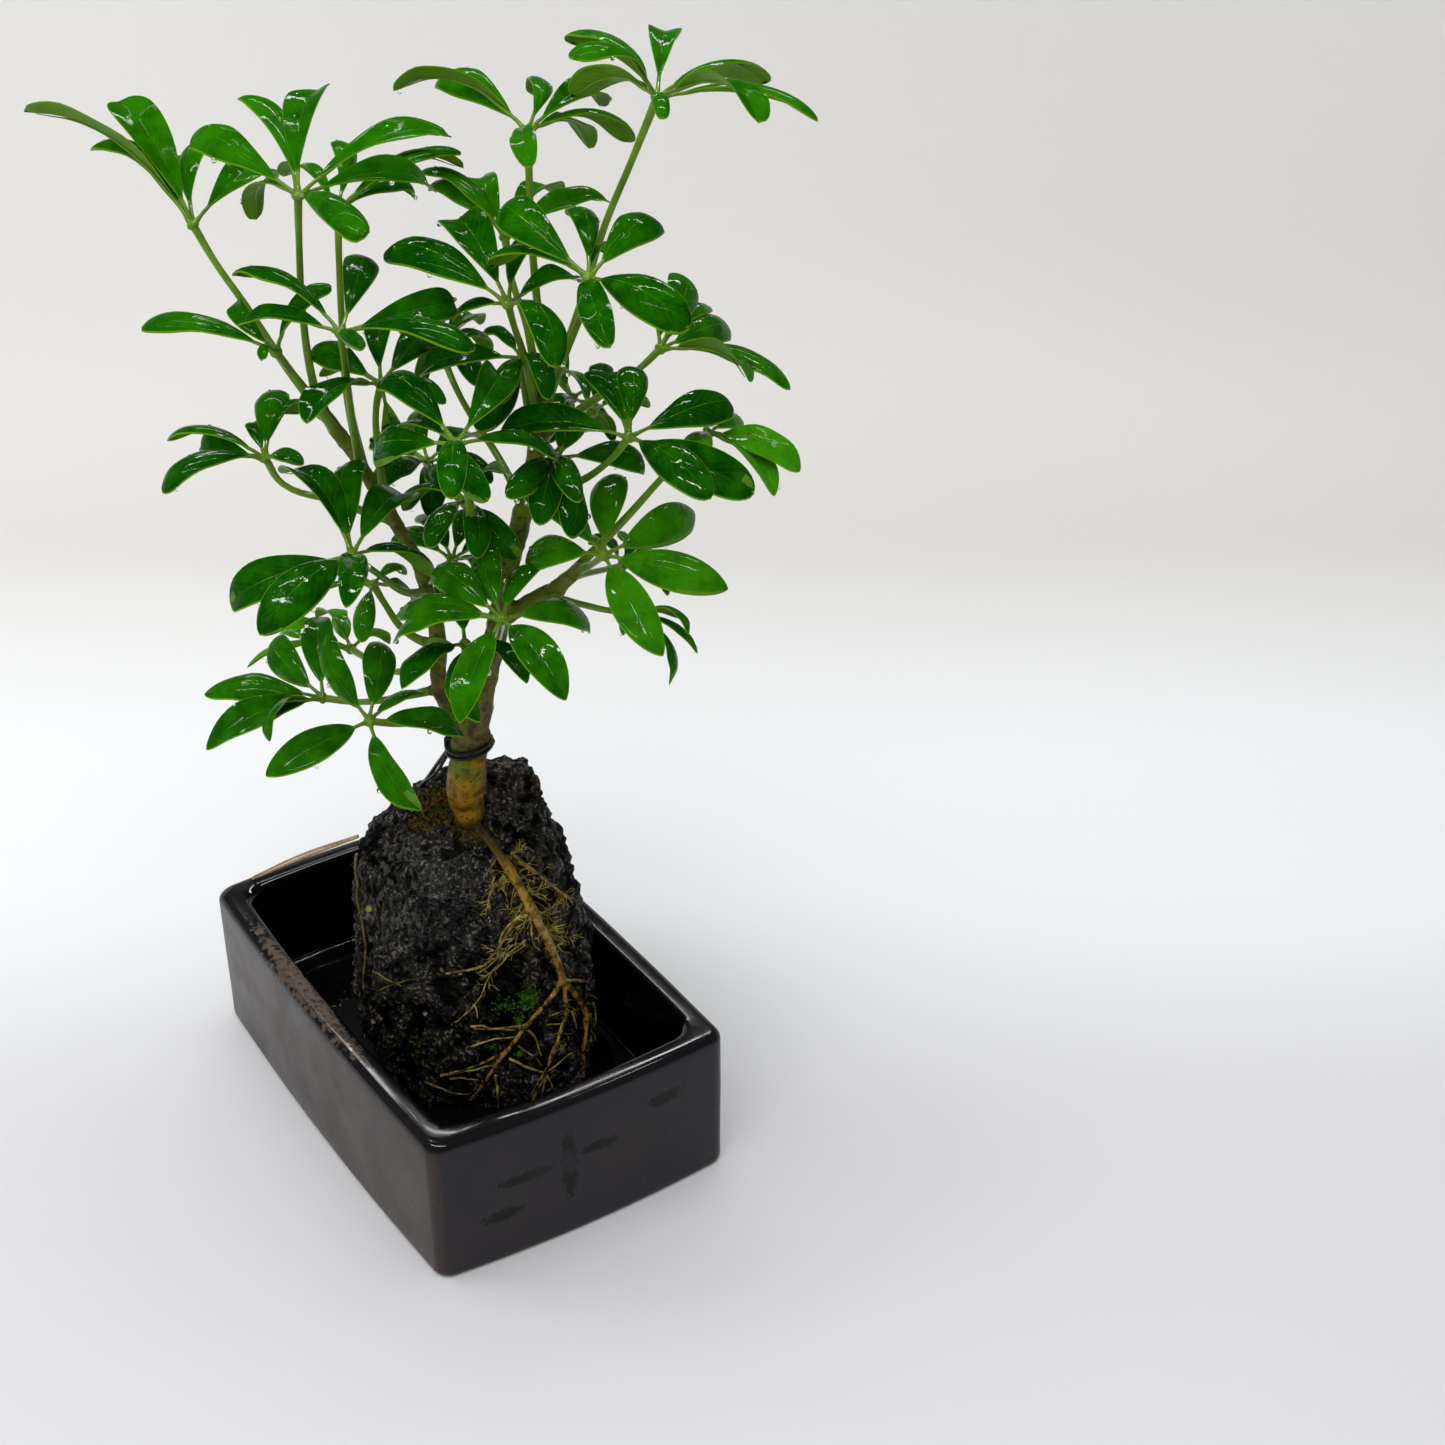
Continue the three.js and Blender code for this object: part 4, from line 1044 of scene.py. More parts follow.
LEAVES = (
    LeafPlan(
        "crown_right", (657, 98), 10, 50, 0.1,
        ((632, 160), (605, 225), (582, 300), (565, 350), (546, 394, 7)),
        ((571, 40), (574, 55, 0.9), (572, 94), (667, 38), (767, 80), (819, 119), (761, 118),
         (663, 116, 0.55)),
        spoon=0.8, youth=0.1, turn=0.1, tone=0.65,
    ),
    LeafPlan(
        "crown_middle", (528, 131), -20, 44, 0.1,
        ((530, 200), (537, 300), (548, 372, 5)),
        ((391, 84), (440, 76), (533, 88), (602, 100), (633, 138), (590, 145), (531, 165)),
        spoon=0.8, youth=0.1, tone=0.6,
    ),
    LeafPlan(
        "crown_left_front", (298, 196), 20, 48, 0.1,
        ((299, 240), (303, 317), (313, 382), (323, 414, 3)),
        ((194, 132), (248, 97), (318, 87), (450, 132), (432, 185), (364, 236), (254, 215)),
        spoon=1.0, youth=0.05, tone=0.65,
    ),
    LeafPlan(
        "crown_left_back", (338, 211), -28, 44, 0.1,
        ((339, 260), (343, 340), (348, 400), (365, 475, 5)),
        ((461, 150), (465, 162), (412, 190, -0.9), (340, 143, -0.9), (283, 172)),
        spoon=0.9, youth=0.1, tone=0.55,
    ),
    LeafPlan(
        "far_left_high", (193, 225), -12, 50, 0.05,
        ((215, 262), (246, 306), (283, 362), (313, 401, 2)),
        ((24, 108), (95, 144), (118, 99), (180, 165), (215, 142), (268, 172)),
        spoon=0.9, youth=0.1, tone=0.6,
    ),
    LeafPlan(
        "left_upper", (276, 352), 22, 42, 0.12,
        ((296, 378), (342, 440, 4)),
        ((141, 325), (233, 299, -0.6), (330, 281, 0.68), (262, 356, 0.5)),
        spoon=0.8, tone=0.5,
    ),
    LeafPlan(
        "left_inner", (341, 333), 40, 46, 0.12,
        ((347, 380), (352, 420), (360, 464, 5)),
        ((236, 272), (240, 323, -0.78), (364, 257), (456, 303, -0.85), (474, 349), (363, 346, 0.55)),
        spoon=0.8, turn=0.35, tone=0.35,
    ),
    LeafPlan(
        "centre_high", (508, 304), 26, 46, 0.15,
        ((514, 326), (524, 356), (538, 420, 7)),
        ((384, 248), (452, 217), (454, 322, -0.6), (545, 232, -0.75), (580, 278, -0.7), (557, 364)),
        spoon=0.6, tone=0.35,
    ),
    LeafPlan(
        "right_high", (589, 278), 46, 42, 0.15,
        ((584, 306), (566, 352), (546, 404, 8)),
        ((500, 203), (490, 263), (574, 211), (655, 221), (608, 248, -0.6), (689, 327), (609, 345)),
        spoon=0.7, tone=0.45,
    ),
    LeafPlan(
        "right_upper", (660, 349), -10, 40, 0.1,
        ((640, 368), (600, 396), (539, 436, 7)),
        ((630, 293), (681, 276), (729, 328), (792, 387), (751, 379), (708, 308)),
        spoon=0.5, youth=0.15, tone=0.6,
    ),
    LeafPlan(
        "centre_back_high", (505, 237), -30, 40, 0.1,
        ((512, 280), (528, 330), (541, 428, 6)),
        ((424, 168), (433, 183), (478, 179), (608, 199), (560, 190)),
        spoon=0.7, youth=0.25, tone=0.7,
    ),
    LeafPlan(
        "centre_front", (457, 444), 64, 40, 0.2,
        ((462, 470), (468, 495), (473, 520, 23)),
        ((381, 377), (406, 435), (376, 455), (451, 495), (559, 459), (502, 371), (486, 500, 0.7)),
        spoon=0.7,
    ),
    LeafPlan(
        "centre_right", (557, 458), 22, 36, 0.2,
        ((550, 470), (531, 482, 8)),
        ((507, 495), (539, 523), (579, 499), (572, 537), (648, 467), (580, 414, -0.55)),
    ),
    LeafPlan(
        "right_middle", (629, 437), 34, 42, 0.15,
        ((608, 462), (572, 485), (527, 496, 8)),
        ((495, 437), (588, 370, -0.75), (614, 372, -0.75), (631, 365, -0.75), (735, 404),
         (756, 493), (711, 497)),
        turn=0.4,
    ),
    LeafPlan(
        "right_young", (708, 432), 8, 34, 0.05,
        ((690, 448), (660, 480), (624, 520), (556, 588, 14)),
        ((681, 461, 0.8), (702, 467, 0.8), (776, 494), (802, 469), (738, 425)),
        spoon=0.3, youth=0.8, tone=0.9,
    ),
    LeafPlan(
        "left_centre", (381, 384), 20, 42, 0.2,
        ((376, 410), (378, 450), (386, 508, 6)),
        ((311, 347, -0.75), (320, 373, -0.65), (306, 421), (386, 328), (430, 337),
         (392, 458, -0.7), (447, 400, 0.6)),
        turn=0.35,
    ),
    LeafPlan(
        "centre_back", (440, 350), -34, 38, 0.15,
        ((462, 400), (500, 460), (524, 508, 9)),
        ((402, 330), (480, 320), (490, 352), (420, 382, -0.7), (452, 300), (478, 384), (398, 312)),
        turn=0.5,
    ),
    LeafPlan(
        "left_low", (265, 458), 8, 36, 0.15,
        ((283, 484), (330, 500), (396, 522, 6)),
        ((167, 437), (158, 489), (197, 453), (277, 390), (306, 405), (253, 420, -0.6), (303, 462, 0.6)),
        spoon=0.6, tone=0.45,
    ),
    LeafPlan(
        "left_front", (352, 555), 50, 44, 0.25,
        ((378, 574), (405, 592), (428, 592, 9)),
        ((281, 467), (354, 459), (411, 496), (431, 574), (346, 605), (258, 633), (226, 606)),
        spoon=0.35, turn=0.2, tone=0.35,
    ),
    LeafPlan(
        "centre_low", (502, 619), 52, 38, 0.2,
        ((500, 632), (494, 646, 12)),
        ((486, 540), (542, 566), (433, 568), (390, 640), (394, 614), (593, 629), (567, 699), (459, 722)),
        spoon=0.1, youth=0.15, turn=0.35, tone=0.5,
    ),
    LeafPlan(
        "centre_lowest", (465, 644), 30, 34, 0.3,
        ((468, 664), (484, 676, 13)),
        ((400, 686), (478, 722), (528, 681), (452, 580), (420, 668)),
        spoon=0.1,
    ),
    LeafPlan(
        "low_front", (369, 721), 42, 34, 0.2,
        ((400, 724), (440, 720), (464, 716, 15)),
        ((325, 633), (380, 638), (425, 693, -0.8), (465, 735), (421, 812), (265, 775)),
        spoon=0.05, youth=0.2, turn=0.35, tone=0.55,
    ),
    LeafPlan(
        "low_left", (323, 698), 8, 38, 0.2,
        ((360, 702), (400, 697), (441, 688, 13)),
        ((203, 693), (204, 748), (266, 739), (274, 637), (318, 615)),
        spoon=0.05, youth=0.12, tone=0.5,
    ),
    LeafPlan(
        "low_back", (351, 649), -26, 30, 0.15,
        ((370, 660), (400, 672), (438, 660, 12)),
        ((246, 665), (278, 631), (342, 611), (316, 612), (390, 640)),
        spoon=0.1, youth=0.8, tone=0.7,
    ),
    LeafPlan(
        "left_under", (373, 584), 6, 26, 0.25,
        ((385, 604), (404, 630), (437, 648, 11)),
        ((416, 603), (362, 641), (405, 571), (323, 578), (296, 612)),
        youth=0.3, tone=0.6,
    ),
    LeafPlan(
        "right_front", (604, 555), 40, 42, 0.15,
        ((592, 564), (577, 571, 18)),
        ((523, 492, -0.75), (616, 473), (696, 511), (526, 561), (729, 588), (663, 655)),
        spoon=0.15, youth=0.4, turn=0.35, tone=0.75,
    ),
    LeafPlan(
        "right_low", (634, 612), -14, 26, 0.2,
        ((612, 611), (580, 604), (556, 599), (529, 603, 12)),
        ((622, 633, 0.6), (693, 631), (699, 652), (674, 685)),
        spoon=0.1, youth=0.3,
    ),
    LeafPlan(
        "right_back", (622, 566), -40, 30, 0.2,
        ((603, 570), (575, 577), (557, 588, 14)),
        ((620, 535), (668, 592), (652, 556), (590, 540), (655, 530)),
    ),
    LeafPlan(
        "centre_inner", (522, 358), 5, 36, 0.2,
        ((526, 400), (536, 446, 7)),
        ((416, 373), (478, 430), (486, 330, -0.7), (549, 396), (500, 402)),
        turn=0.9,
    ),
    LeafPlan(
        "back_left", (428, 462), -44, 36, 0.15,
        ((450, 490), (488, 530), (512, 552, 10)),
        ((372, 440), (420, 410), (478, 436), (492, 480), (430, 516), (374, 486), (375, 440)),
        turn=0.4,
    ),
    LeafPlan(
        "right_inner", (592, 412), -14, 34, 0.2,
        ((572, 436), (530, 484, 8)),
        ((548, 372), (648, 404), (560, 446, 0.8), (614, 438, -0.7), (604, 364, -0.9)),
    ),
    LeafPlan(
        "centre_low_back", (452, 560), -18, 34, 0.2,
        ((474, 584), (506, 588, 11)),
        ((394, 540), (512, 548), (470, 512), (420, 516), (438, 596, 0.45), (492, 592)),
    ),
    LeafPlan(
        "back_right", (572, 398), -40, 34, 0.15,
        ((560, 420), (534, 452, 8)),
        ((520, 384), (556, 346, -0.9), (622, 384, -0.8), (610, 432, -0.8), (548, 440), (545, 420)),
    ),
    LeafPlan(
        "centre_under", (465, 500), 8, 32, 0.2,
        ((480, 530), (500, 560), (511, 562, 10)),
        ((402, 506), (429, 546), (430, 470), (520, 560, 0.9), (505, 470), (478, 556)),
        turn=0.5,
    ),
)


@dataclass(frozen=True)
class Blade:
    """One leaflet's own surface, from its stalk to its tip.

    Attributes:
        hub: Where the leaflets of the leaf meet.
        tip: The leaflet's end.
        reach: The length of a whole leaflet of this leaf.
        crown: The leaf's own upward direction.
        spoon: 0 for a pointed oval, 1 for a blunt spoon.
        chance: The leaflet's own random numbers.

    The other sizes are in metres, or shares of the leaflet's length, and of its half width for the
    dome. The curl goes from the least to the most that a tip turns down.
    """

    hub: Vector
    tip: Vector
    reach: float
    crown: Vector
    spoon: float
    chance: tuple[float, ...]

    stalk: float = 0.11
    keeled: float = 0.36
    sway: float = 0.62
    width: float = 0.345
    dome: float = 0.23
    arch: float = 0.14
    hub_radius: float = 2.4 * MM
    notch: float = 0.03
    groove: float = 0.22 * MM
    margin_roll: float = 0.7 * MM
    margin_wave: float = 0.75 * MM
    curl: Pair = (0.4 * MM, 1.8 * MM)

    @cached_property
    def chord(self) -> Vector:
        """From the hub to the tip."""
        return self.tip - self.hub

    @cached_property
    def ahead(self) -> Vector:
        """The chord's direction."""
        return self.chord.normalized()

    @cached_property
    def lift(self) -> Vector:
        """The leaflet's upward direction, square to its chord, with the blade's own roll."""
        level = (self.crown - self.ahead * self.crown.dot(self.ahead)).normalized()
        return Matrix.Rotation(self.sway * (2 * self.chance[2] - 1), 3, self.ahead) @ level

    @cached_property
    def across(self) -> Vector:
        """The direction over the blade."""
        return self.ahead.cross(self.lift)

    @cached_property
    def half(self) -> float:
        """Half of the blade's greatest width. A leaflet that points at the viewer is a narrow one."""
        vary = (1 + 0.14 * (self.chance[0] - 0.5)) * lerp(1.0, 0.85, smooth(0.6, 0.95, self.spoon))
        sight = (self.hub - VIEW.eye).normalized()
        slim = lerp(1.0, 0.66, smooth(0.75, 0.97, abs(self.ahead.dot(sight))))
        return self.width * min(self.chord.length, self.reach) * (1 - self.stalk) / 2 * vary * slim

    @cached_property
    def knots(self) -> tuple[Vector, Vector, Vector]:
        """The three points that bend the leaflet's rib."""
        root = self.hub + self.ahead * (0.5 * self.hub_radius)
        arch = self.arch * lerp(0.85, 1.3, self.chance[4])
        top = self.hub + self.chord * 0.56 + self.lift * (2 * arch * self.chord.length)
        return root, top, self.tip

    def spine(self, along: float) -> Vector:
        """Gives a point of the rib.

        Args:
            along: From 0 at the hub to 1 at the tip.

        Returns:
            The point.
        """
        root, top, tip = self.knots
        rest = 1 - along
        return root * rest**2 + top * (2 * rest * along) + tip * along**2

    def heading(self, along: float) -> Vector:
        """The rib's direction."""
        root, top, tip = self.knots
        return ((top - root) * (1 - along) + (tip - top) * along).normalized()

    def breadth(self, share: float) -> float:
        """Gives the blade's half width against its greatest.

        Args:
            share: From 0 at the blade's base to 1 at its tip.

        Returns:
            A share of the greatest half width.
        """
        rise = lerp(0.82, 1.0, self.spoon)
        fall = lerp(0.8, 0.36, self.spoon)
        peak = rise / (rise + fall)
        most = peak**rise * (1 - peak) ** fall
        return max(share, 0.0) ** rise * max(1 - share, 0.0) ** fall / most

    def vault(self, out: float) -> float:
        """Gives how the blade rises over its width: most are domed, and the others are keeled.

        Args:
            out: From 0 at the rib to 1 at the margin.

        Returns:
            A share of the half width.
        """
        if self.chance[1] < self.keeled:
            return 0.4 * out**1.4
        return self.dome * lerp(0.8, 1.25, self.chance[1]) * (1 - out**2)

    def surface(self, share: float, side: float) -> Vector:
        """Gives a point of the upper side.

        Args:
            share: From 0 at the blade's base to 1 at its tip.
            side: From -1 at one margin over 0 at the rib to 1 at the other.

        Returns:
            The point.
        """
        notch = self.notch * self.spoon * (1 - abs(side)) * smooth(0.9, 1.0, share)
        along = self.stalk + (share - notch) * (1 - self.stalk)
        normal = self.across.cross(self.heading(along))
        width = self.breadth(share)
        out = abs(side)
        crown = self.half * width * self.vault(out)
        groove = self.groove * math.exp(-((side / 0.09) ** 2)) * (1 - share)
        roll = self.margin_roll * out**5 * width
        swing = math.sin(2 * math.pi * (1.7 * share + self.chance[2]) + side * 1.3)
        wave = self.margin_wave * self.chance[3] * out**2 * width * swing
        curl = lerp(*self.curl, self.chance[4]) * smooth(0.75, 1.0, share)
        height = crown - groove - roll + wave - curl
        return self.spine(along) + self.across * (side * self.half * width) + normal * height


@dataclass
class Drops:
    """Water drops that stand on the leaflets and hang under their margins."""

    finish: WaterFinish = WaterFinish()
    sides: int = 8
    levels: int = 5
    shape: Shape = field(default_factory=bmesh.new)

    def __post_init__(self) -> None:
        """Makes the drop that the others are copies of."""
        drop = bmesh.new()
        bmesh.ops.create_uvsphere(drop, u_segments=self.sides, v_segments=self.levels, radius=1.0)
        self.stamp = Stamp(drop)

    def add(self, centre: Vector, upward: Vector, radius: float, flat: float) -> None:
        """Adds a drop.

        Args:
            centre: Its middle.
            upward: The direction that its height is measured along.
            radius: Its radius in metres.
            flat: Its height against its width.
        """
        size = Matrix.Diagonal((radius, radius, radius * flat, 1.0))
        self.stamp.press(self.shape, Matrix.Translation(centre) @ turned(upward) @ size)

    def build(self) -> None:
        """Makes the piece."""
        finish_piece("water_drops", self.shape, [self.finish.drop()], crease=math.pi)


@dataclass
class Leaf:
    """A compound leaf: petiole, hub and a fan of leaflets with their stalks.

    The rib stations are shares of a leaflet's length, each with the rib's radius against the stalk's and
    how deep it sinks into the blade.
    """

    plan: LeafPlan
    materials: tuple[Material, ...]
    columns: int = 12
    rows: int = 18
    thick: float = 0.5 * MM
    petiole_radius: float = 1.05 * MM
    stalk_radius: float = 0.62 * MM
    hub_radius: float = 2.0 * MM
    rib_stations: tuple[Triple, ...] = (
        (0.0, 1.5, 0.0), (0.06, 1.0, 0.0), (0.16, 0.95, 0.15 * MM), (0.4, 0.75, 0.05 * MM),
        (0.7, 0.5, 0.1 * MM), (0.95, 0.2, 0.25 * MM),
    )
    drop_counts: tuple[int, ...] = (1, 1, 2, 3)
    standing: Pair = (0.35 * MM, 0.8 * MM)
    hanging: Pair = (0.55 * MM, 0.95 * MM)
    blades: list[Blade] = field(default_factory=list)

    @cached_property
    def hub(self) -> Vector:
        """The place where the leaflets meet."""
        return VIEW.place(self.plan.hub, self.plan.depth)

    @cached_property
    def stem(self) -> list[Vector]:
        """The petiole's points, from the hub to its foot on the wood."""
        foot = self.plan.petiole[-1]
        count = len(self.plan.petiole)
        points = [self.hub]
        for index, knot in enumerate(self.plan.petiole):
            points.append(VIEW.place(knot[:2], lerp(self.plan.depth, foot[2], (index + 1) / count)))
        return points

    def tip(self, row: tuple[float, ...]) -> Vector:
        """Finds a leaflet's tip behind its pixel, at the leaflet's length from the hub.

        Args:
            row: The pixel, and a third number where the leaflet has its own length: above 0 it leans
                to the viewer, below 0 away.

        Returns:
            The point.
        """
        lean = row[2] if len(row) > 2 else 0.0
        direction = VIEW.sight(row)
        to_hub = self.hub - VIEW.eye
        along = to_hub.dot(direction)
        aside = math.sqrt(to_hub.length_squared - along**2)
        length = max(self.plan.reach * MM * (abs(lean) or 1.0), aside * 1.03)
        half = math.sqrt(length**2 - aside**2)
        near = VIEW.eye + direction * (along - half)
        far = VIEW.eye + direction * (along + half)
        if lean:
            return near if lean > 0 else far
        wanted = self.hub.z - self.plan.droop * length
        return near if abs(near.z - wanted) < abs(far.z - wanted) else far

    def plan_blades(self, chance: random.Random) -> None:
        """Works out every leaflet's surface.

        Args:
            chance: The random numbers.
        """
        rise = (self.stem[0] - self.stem[1]).normalized()
        crown = (UP + rise * 0.5 + VIEW.toward * self.plan.facing).normalized()
        reach = self.plan.reach * MM
        for row in self.plan.tips:
            draws = tuple(chance.random() for _ in range(6))
            self.blades.append(Blade(self.hub, self.tip(row), reach, crown, self.plan.spoon, draws))

    def add_blade(self, shape: Shape, blade: Blade) -> None:
        """Adds one leaflet's blade, as a grid laid on its surface and given its thickness.

        Args:
            shape: The shape that it goes into.
            blade: The leaflet's surface.
        """
        uv = shape.loops.layers.uv.verify()
        tone = shape.verts.layers.float["tone"]
        youth = shape.verts.layers.float["youth"]
        grid = bmesh.ops.create_grid(shape, x_segments=self.columns, y_segments=self.rows, size=1.0)
        faces = list(dict.fromkeys(face for vert in grid["verts"] for face in vert.link_faces))
        places = {}
        for vert in grid["verts"]:
            side = math.copysign(abs(vert.co.x) ** 1.25, vert.co.x)
            share = 0.5 - 0.5 * math.cos(math.pi * (vert.co.y + 1) / 2)
            share = lerp(share, (vert.co.y + 1) / 2, 0.25)
            places[vert] = (side, share)
        for face in faces:
            for loop in face.loops:
                side, share = places[loop.vert]
                loop[uv].uv = (0.5 + side / 2, share)
        for vert, (side, share) in places.items():
            vert.co = blade.surface(share, side)
            vert[tone] = self.plan.tone + 0.3 * (blade.chance[5] - 0.5)
            vert[youth] = self.plan.youth
        shell = bmesh.ops.solidify(shape, geom=faces, thickness=self.thick)
        added = [item for item in shell["geom"] if isinstance(item, bmesh.types.BMFace)]
        skin = list(dict.fromkeys(added + faces))
        bmesh.ops.recalc_face_normals(shape, faces=skin)
        for face in skin:
            face.material_index = 1 if face.normal.dot(blade.lift) < 0 else 0

    def add_stalks(self, shape: Shape) -> None:
        """Adds the petiole, the hub and the leaflets' stalks, which run on under the blades as ribs.

        Args:
            shape: The shape that they go into.
        """
        count = len(self.stem) - 1
        swell = [1.25] + [1 + 0.7 * (index / count) ** 3 for index in range(1, count + 1)]
        paths = [(self.stem, [self.petiole_radius * size for size in swell])]
        for blade in self.blades:
            points = []
            low = blade.stalk + 0.02
            for share, _, drop in self.rib_stations:
                own = (share - blade.stalk) / (1 - blade.stalk)
                top = blade.spine(share) if share < low else blade.surface(own, 0.0)
                normal = blade.across.cross(blade.heading(share))
                depth = drop if share < low else self.thick + drop - 0.1 * MM
                points.append(top - normal * depth)
            paths.append((points, [self.stalk_radius * size for _, size, _ in self.rib_stations]))
        start = len(shape.faces)
        add_tubes(shape, paths, 2, 5)
        turn = turned(self.stem[0] - self.stem[1])
        matrix = Matrix.Translation(self.hub) @ turn @ Matrix.Diagonal((1.0, 1.0, 0.75, 1.0))
        bmesh.ops.create_icosphere(shape, subdivisions=3, radius=self.hub_radius, matrix=matrix)
        shape.faces.ensure_lookup_table()
        tone = shape.verts.layers.float["tone"]
        for face in shape.faces[start:]:
            face.material_index = 2
            for vert in face.verts:
                vert[tone] = 0.5 + self.plan.youth / 2

    def build(self) -> None:
        """Makes the piece, which stands for the leaf's CAD node."""
        shape = bmesh.new()
        shape.loops.layers.uv.new("blade")
        shape.verts.layers.float.new("tone")
        shape.verts.layers.float.new("youth")
        for blade in self.blades:
            self.add_blade(shape, blade)
        self.add_stalks(shape)
        bmesh.ops.remove_doubles(shape, verts=shape.verts, dist=1e-7)
        name = self.plan.name
        finish_piece(f"foliage_{name}", shape, self.materials, [f"leaf_{name}"])

    def wet(self, drops: Drops, chance: random.Random) -> None:
        """Puts drops on the leaflets and under their margins.

        Args:
            drops: The piece that they go into.
            chance: The random numbers.
        """
        for blade in self.blades:
            for _ in range(chance.choice(self.drop_counts)):
                share = chance.uniform(0.2, 0.92)
                side = chance.uniform(-0.85, 0.85)
                radius = chance.uniform(*self.standing)
                normal = blade.across.cross(blade.heading(share))
                drops.add(blade.surface(share, side), normal, radius, 0.5)
            low = 1.0 if blade.across.z < 0 else -1.0
            if chance.random() < 0.5:
                share = chance.uniform(0.35, 0.97)
                radius = chance.uniform(*self.hanging)
                hang = blade.surface(share, low * 0.97) - UP * (self.thick + radius * 0.55)
                drops.add(hang, UP, radius, 1.15)


@dataclass
class Rock:
    """The lava rock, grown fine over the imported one: knobs, ridges and pits, mostly cut inward."""

    finish: StoneFinish = StoneFinish()
    voxel: float = 0.78 * MM
    ridge: float = 2.4 * MM
    knob: float = 1.8 * MM
    grain: float = 0.85 * MM
    pit: float = 1.8 * MM
    ridge_size: float = 17 * MM
    knob_size: float = 5.2 * MM
    grain_size: float = 1.9 * MM
    pit_size: float = 3.4 * MM
    patch_size: float = 13 * MM
    relaxing: int = 8
    tree: BVHTree | None = None

    def relief(self, place: Vector) -> float:
        """Gives the surface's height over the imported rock.

        Args:
            place: The place.

        Returns:
            The height in metres, mostly below 0.
        """
        tall = Vector((place.x, place.y, place.z * 0.4))
        ridges = noise.ridged_multi_fractal(tall / self.ridge_size, 0.9, 2.1, 3, 1.0, 1.6) - 1.0
        knobs = noise.fractal(place / self.knob_size, 0.8, 2.0, 3)
        grains = noise.noise(place / self.grain_size)
        near = noise.voronoi(place / self.pit_size)[0][0]
        pits = max(0.0, 0.42 - near) / 0.42 * smooth(-0.15, 0.3, noise.noise(place / self.patch_size))
        height = self.ridge * ridges * 0.6 + self.knob * knobs + self.grain * grains
        return height - self.pit * pits - 0.2 * MM

    def build(self) -> None:
        """Makes the piece."""
        raw = bmesh.new()
        raw.from_mesh(frame["nodes"]["rock"].data)
        bmesh.ops.remove_doubles(raw, verts=raw.verts, dist=1e-6)
        shape = remeshed(raw, self.voxel)
        relax(shape, self.relaxing)
        shaded_hollow = shape.verts.layers.float.new("shaded_hollow")
        # How deep each place lies in a pit. The stone's colour darkens it as painted shade.
        for vert in shape.verts:
            vert[shaded_hollow] = smooth(0.2 * MM, -2.2 * MM, self.relief(vert.co))
        displaced(shape, self.relief)
        self.tree = BVHTree.FromBMesh(shape)
        stone = self.finish.material(self.seat)
        finish_piece("porous_rock", shape, [stone], ["rock"], math.pi)

    def hit(self, pixel: Sequence[float]) -> tuple[Vector, Vector] | None:
        """Finds the rock behind a pixel: the point and the way out, or None."""
        point, normal, _, _ = self.tree.ray_cast(VIEW.eye, VIEW.sight(pixel))
        return (point, normal) if point else None

    def seat(self, pixel: Sequence[float]) -> Vector:
        """The point of the rock behind a pixel."""
        return self.hit(pixel)[0]

    def laid(self, path: Sequence[Pixel], radii: Pair, step: float = 7.0) -> tuple[list, list]:
        """Lays a root on the rock along a path of pixels.

        Args:
            path: The pixels.
            radii: The root's radius at both ends, in metres.
            step: The way between two points, in pixels.

        Returns:
            The root's points and its radius at each.
        """
        points = []
        for first, second in zip(path, path[1:]):
            count = max(round(math.dist(first, second) / step), 1)
            for index in range(count):
                share = index / count
                pixel = (lerp(first[0], second[0], share), lerp(first[1], second[1], share))
                self.rest(points, pixel, radii[0])
        self.rest(points, path[-1], radii[1])
        count = max(len(points) - 1, 1)
        sizes = [lerp(radii[0], radii[1], index / count) for index in range(len(points))]
        return eased(points, round(radii[0] / (0.5 * MM))), sizes

    def rest(self, points: list[Vector], pixel: Pixel, radius: float) -> None:
        """Adds the point where a root rests behind a pixel. Past the rock it runs on beside the last one.

        Args:
            points: The root's points so far.
            pixel: The pixel.
            radius: The root's radius in metres.
        """
        found = self.hit(pixel)
        if found:
            point = found[0] + found[1] * (radius * 0.6 + 0.2 * MM)
        elif points:
            point = VIEW.place(pixel, points[-1].dot(VIEW.toward) / MM)
        else:
            return
        if not points or (points[-1] - point).length > 0.4 * MM:
            points.append(point)


# Trunk and branches: pixels, depth and radius in millimetres at each station.
LIMBS = {
    "trunk": (
        (471, 824, 6, 3.8), (469, 811, 7, 5.3), (466, 792, 8, 6.7), (467, 776, 9, 6.7),
        (468, 758, 10, 6.1), (469, 744, 11, 6.5), (474, 718, 12, 5.6), (484, 680, 12, 4.4),
        (496, 632, 12, 3.8), (512, 555, 10, 3.3), (528, 490, 8, 3.0), (540, 430, 7, 2.7),
        (549, 368, 6, 2.5),
    ),
    "left_leader": (
        (470, 722, 12, 3.8), (450, 704, 13, 3.6), (440, 682, 13, 3.0), (438, 640, 11, 2.6),
        (424, 580, 8, 2.4), (394, 520, 6, 2.3), (350, 450, 4, 2.2), (312, 398, 2, 2.1),
    ),
    "right_branch": ((500, 622, 12, 2.8), (528, 603, 12, 2.6), (556, 588, 14, 2.5), (578, 570, 18, 2.2)),
    "centre_twig": ((508, 574, 10, 2.3), (486, 548, 16, 2.0), (471, 512, 24, 1.7)),
}

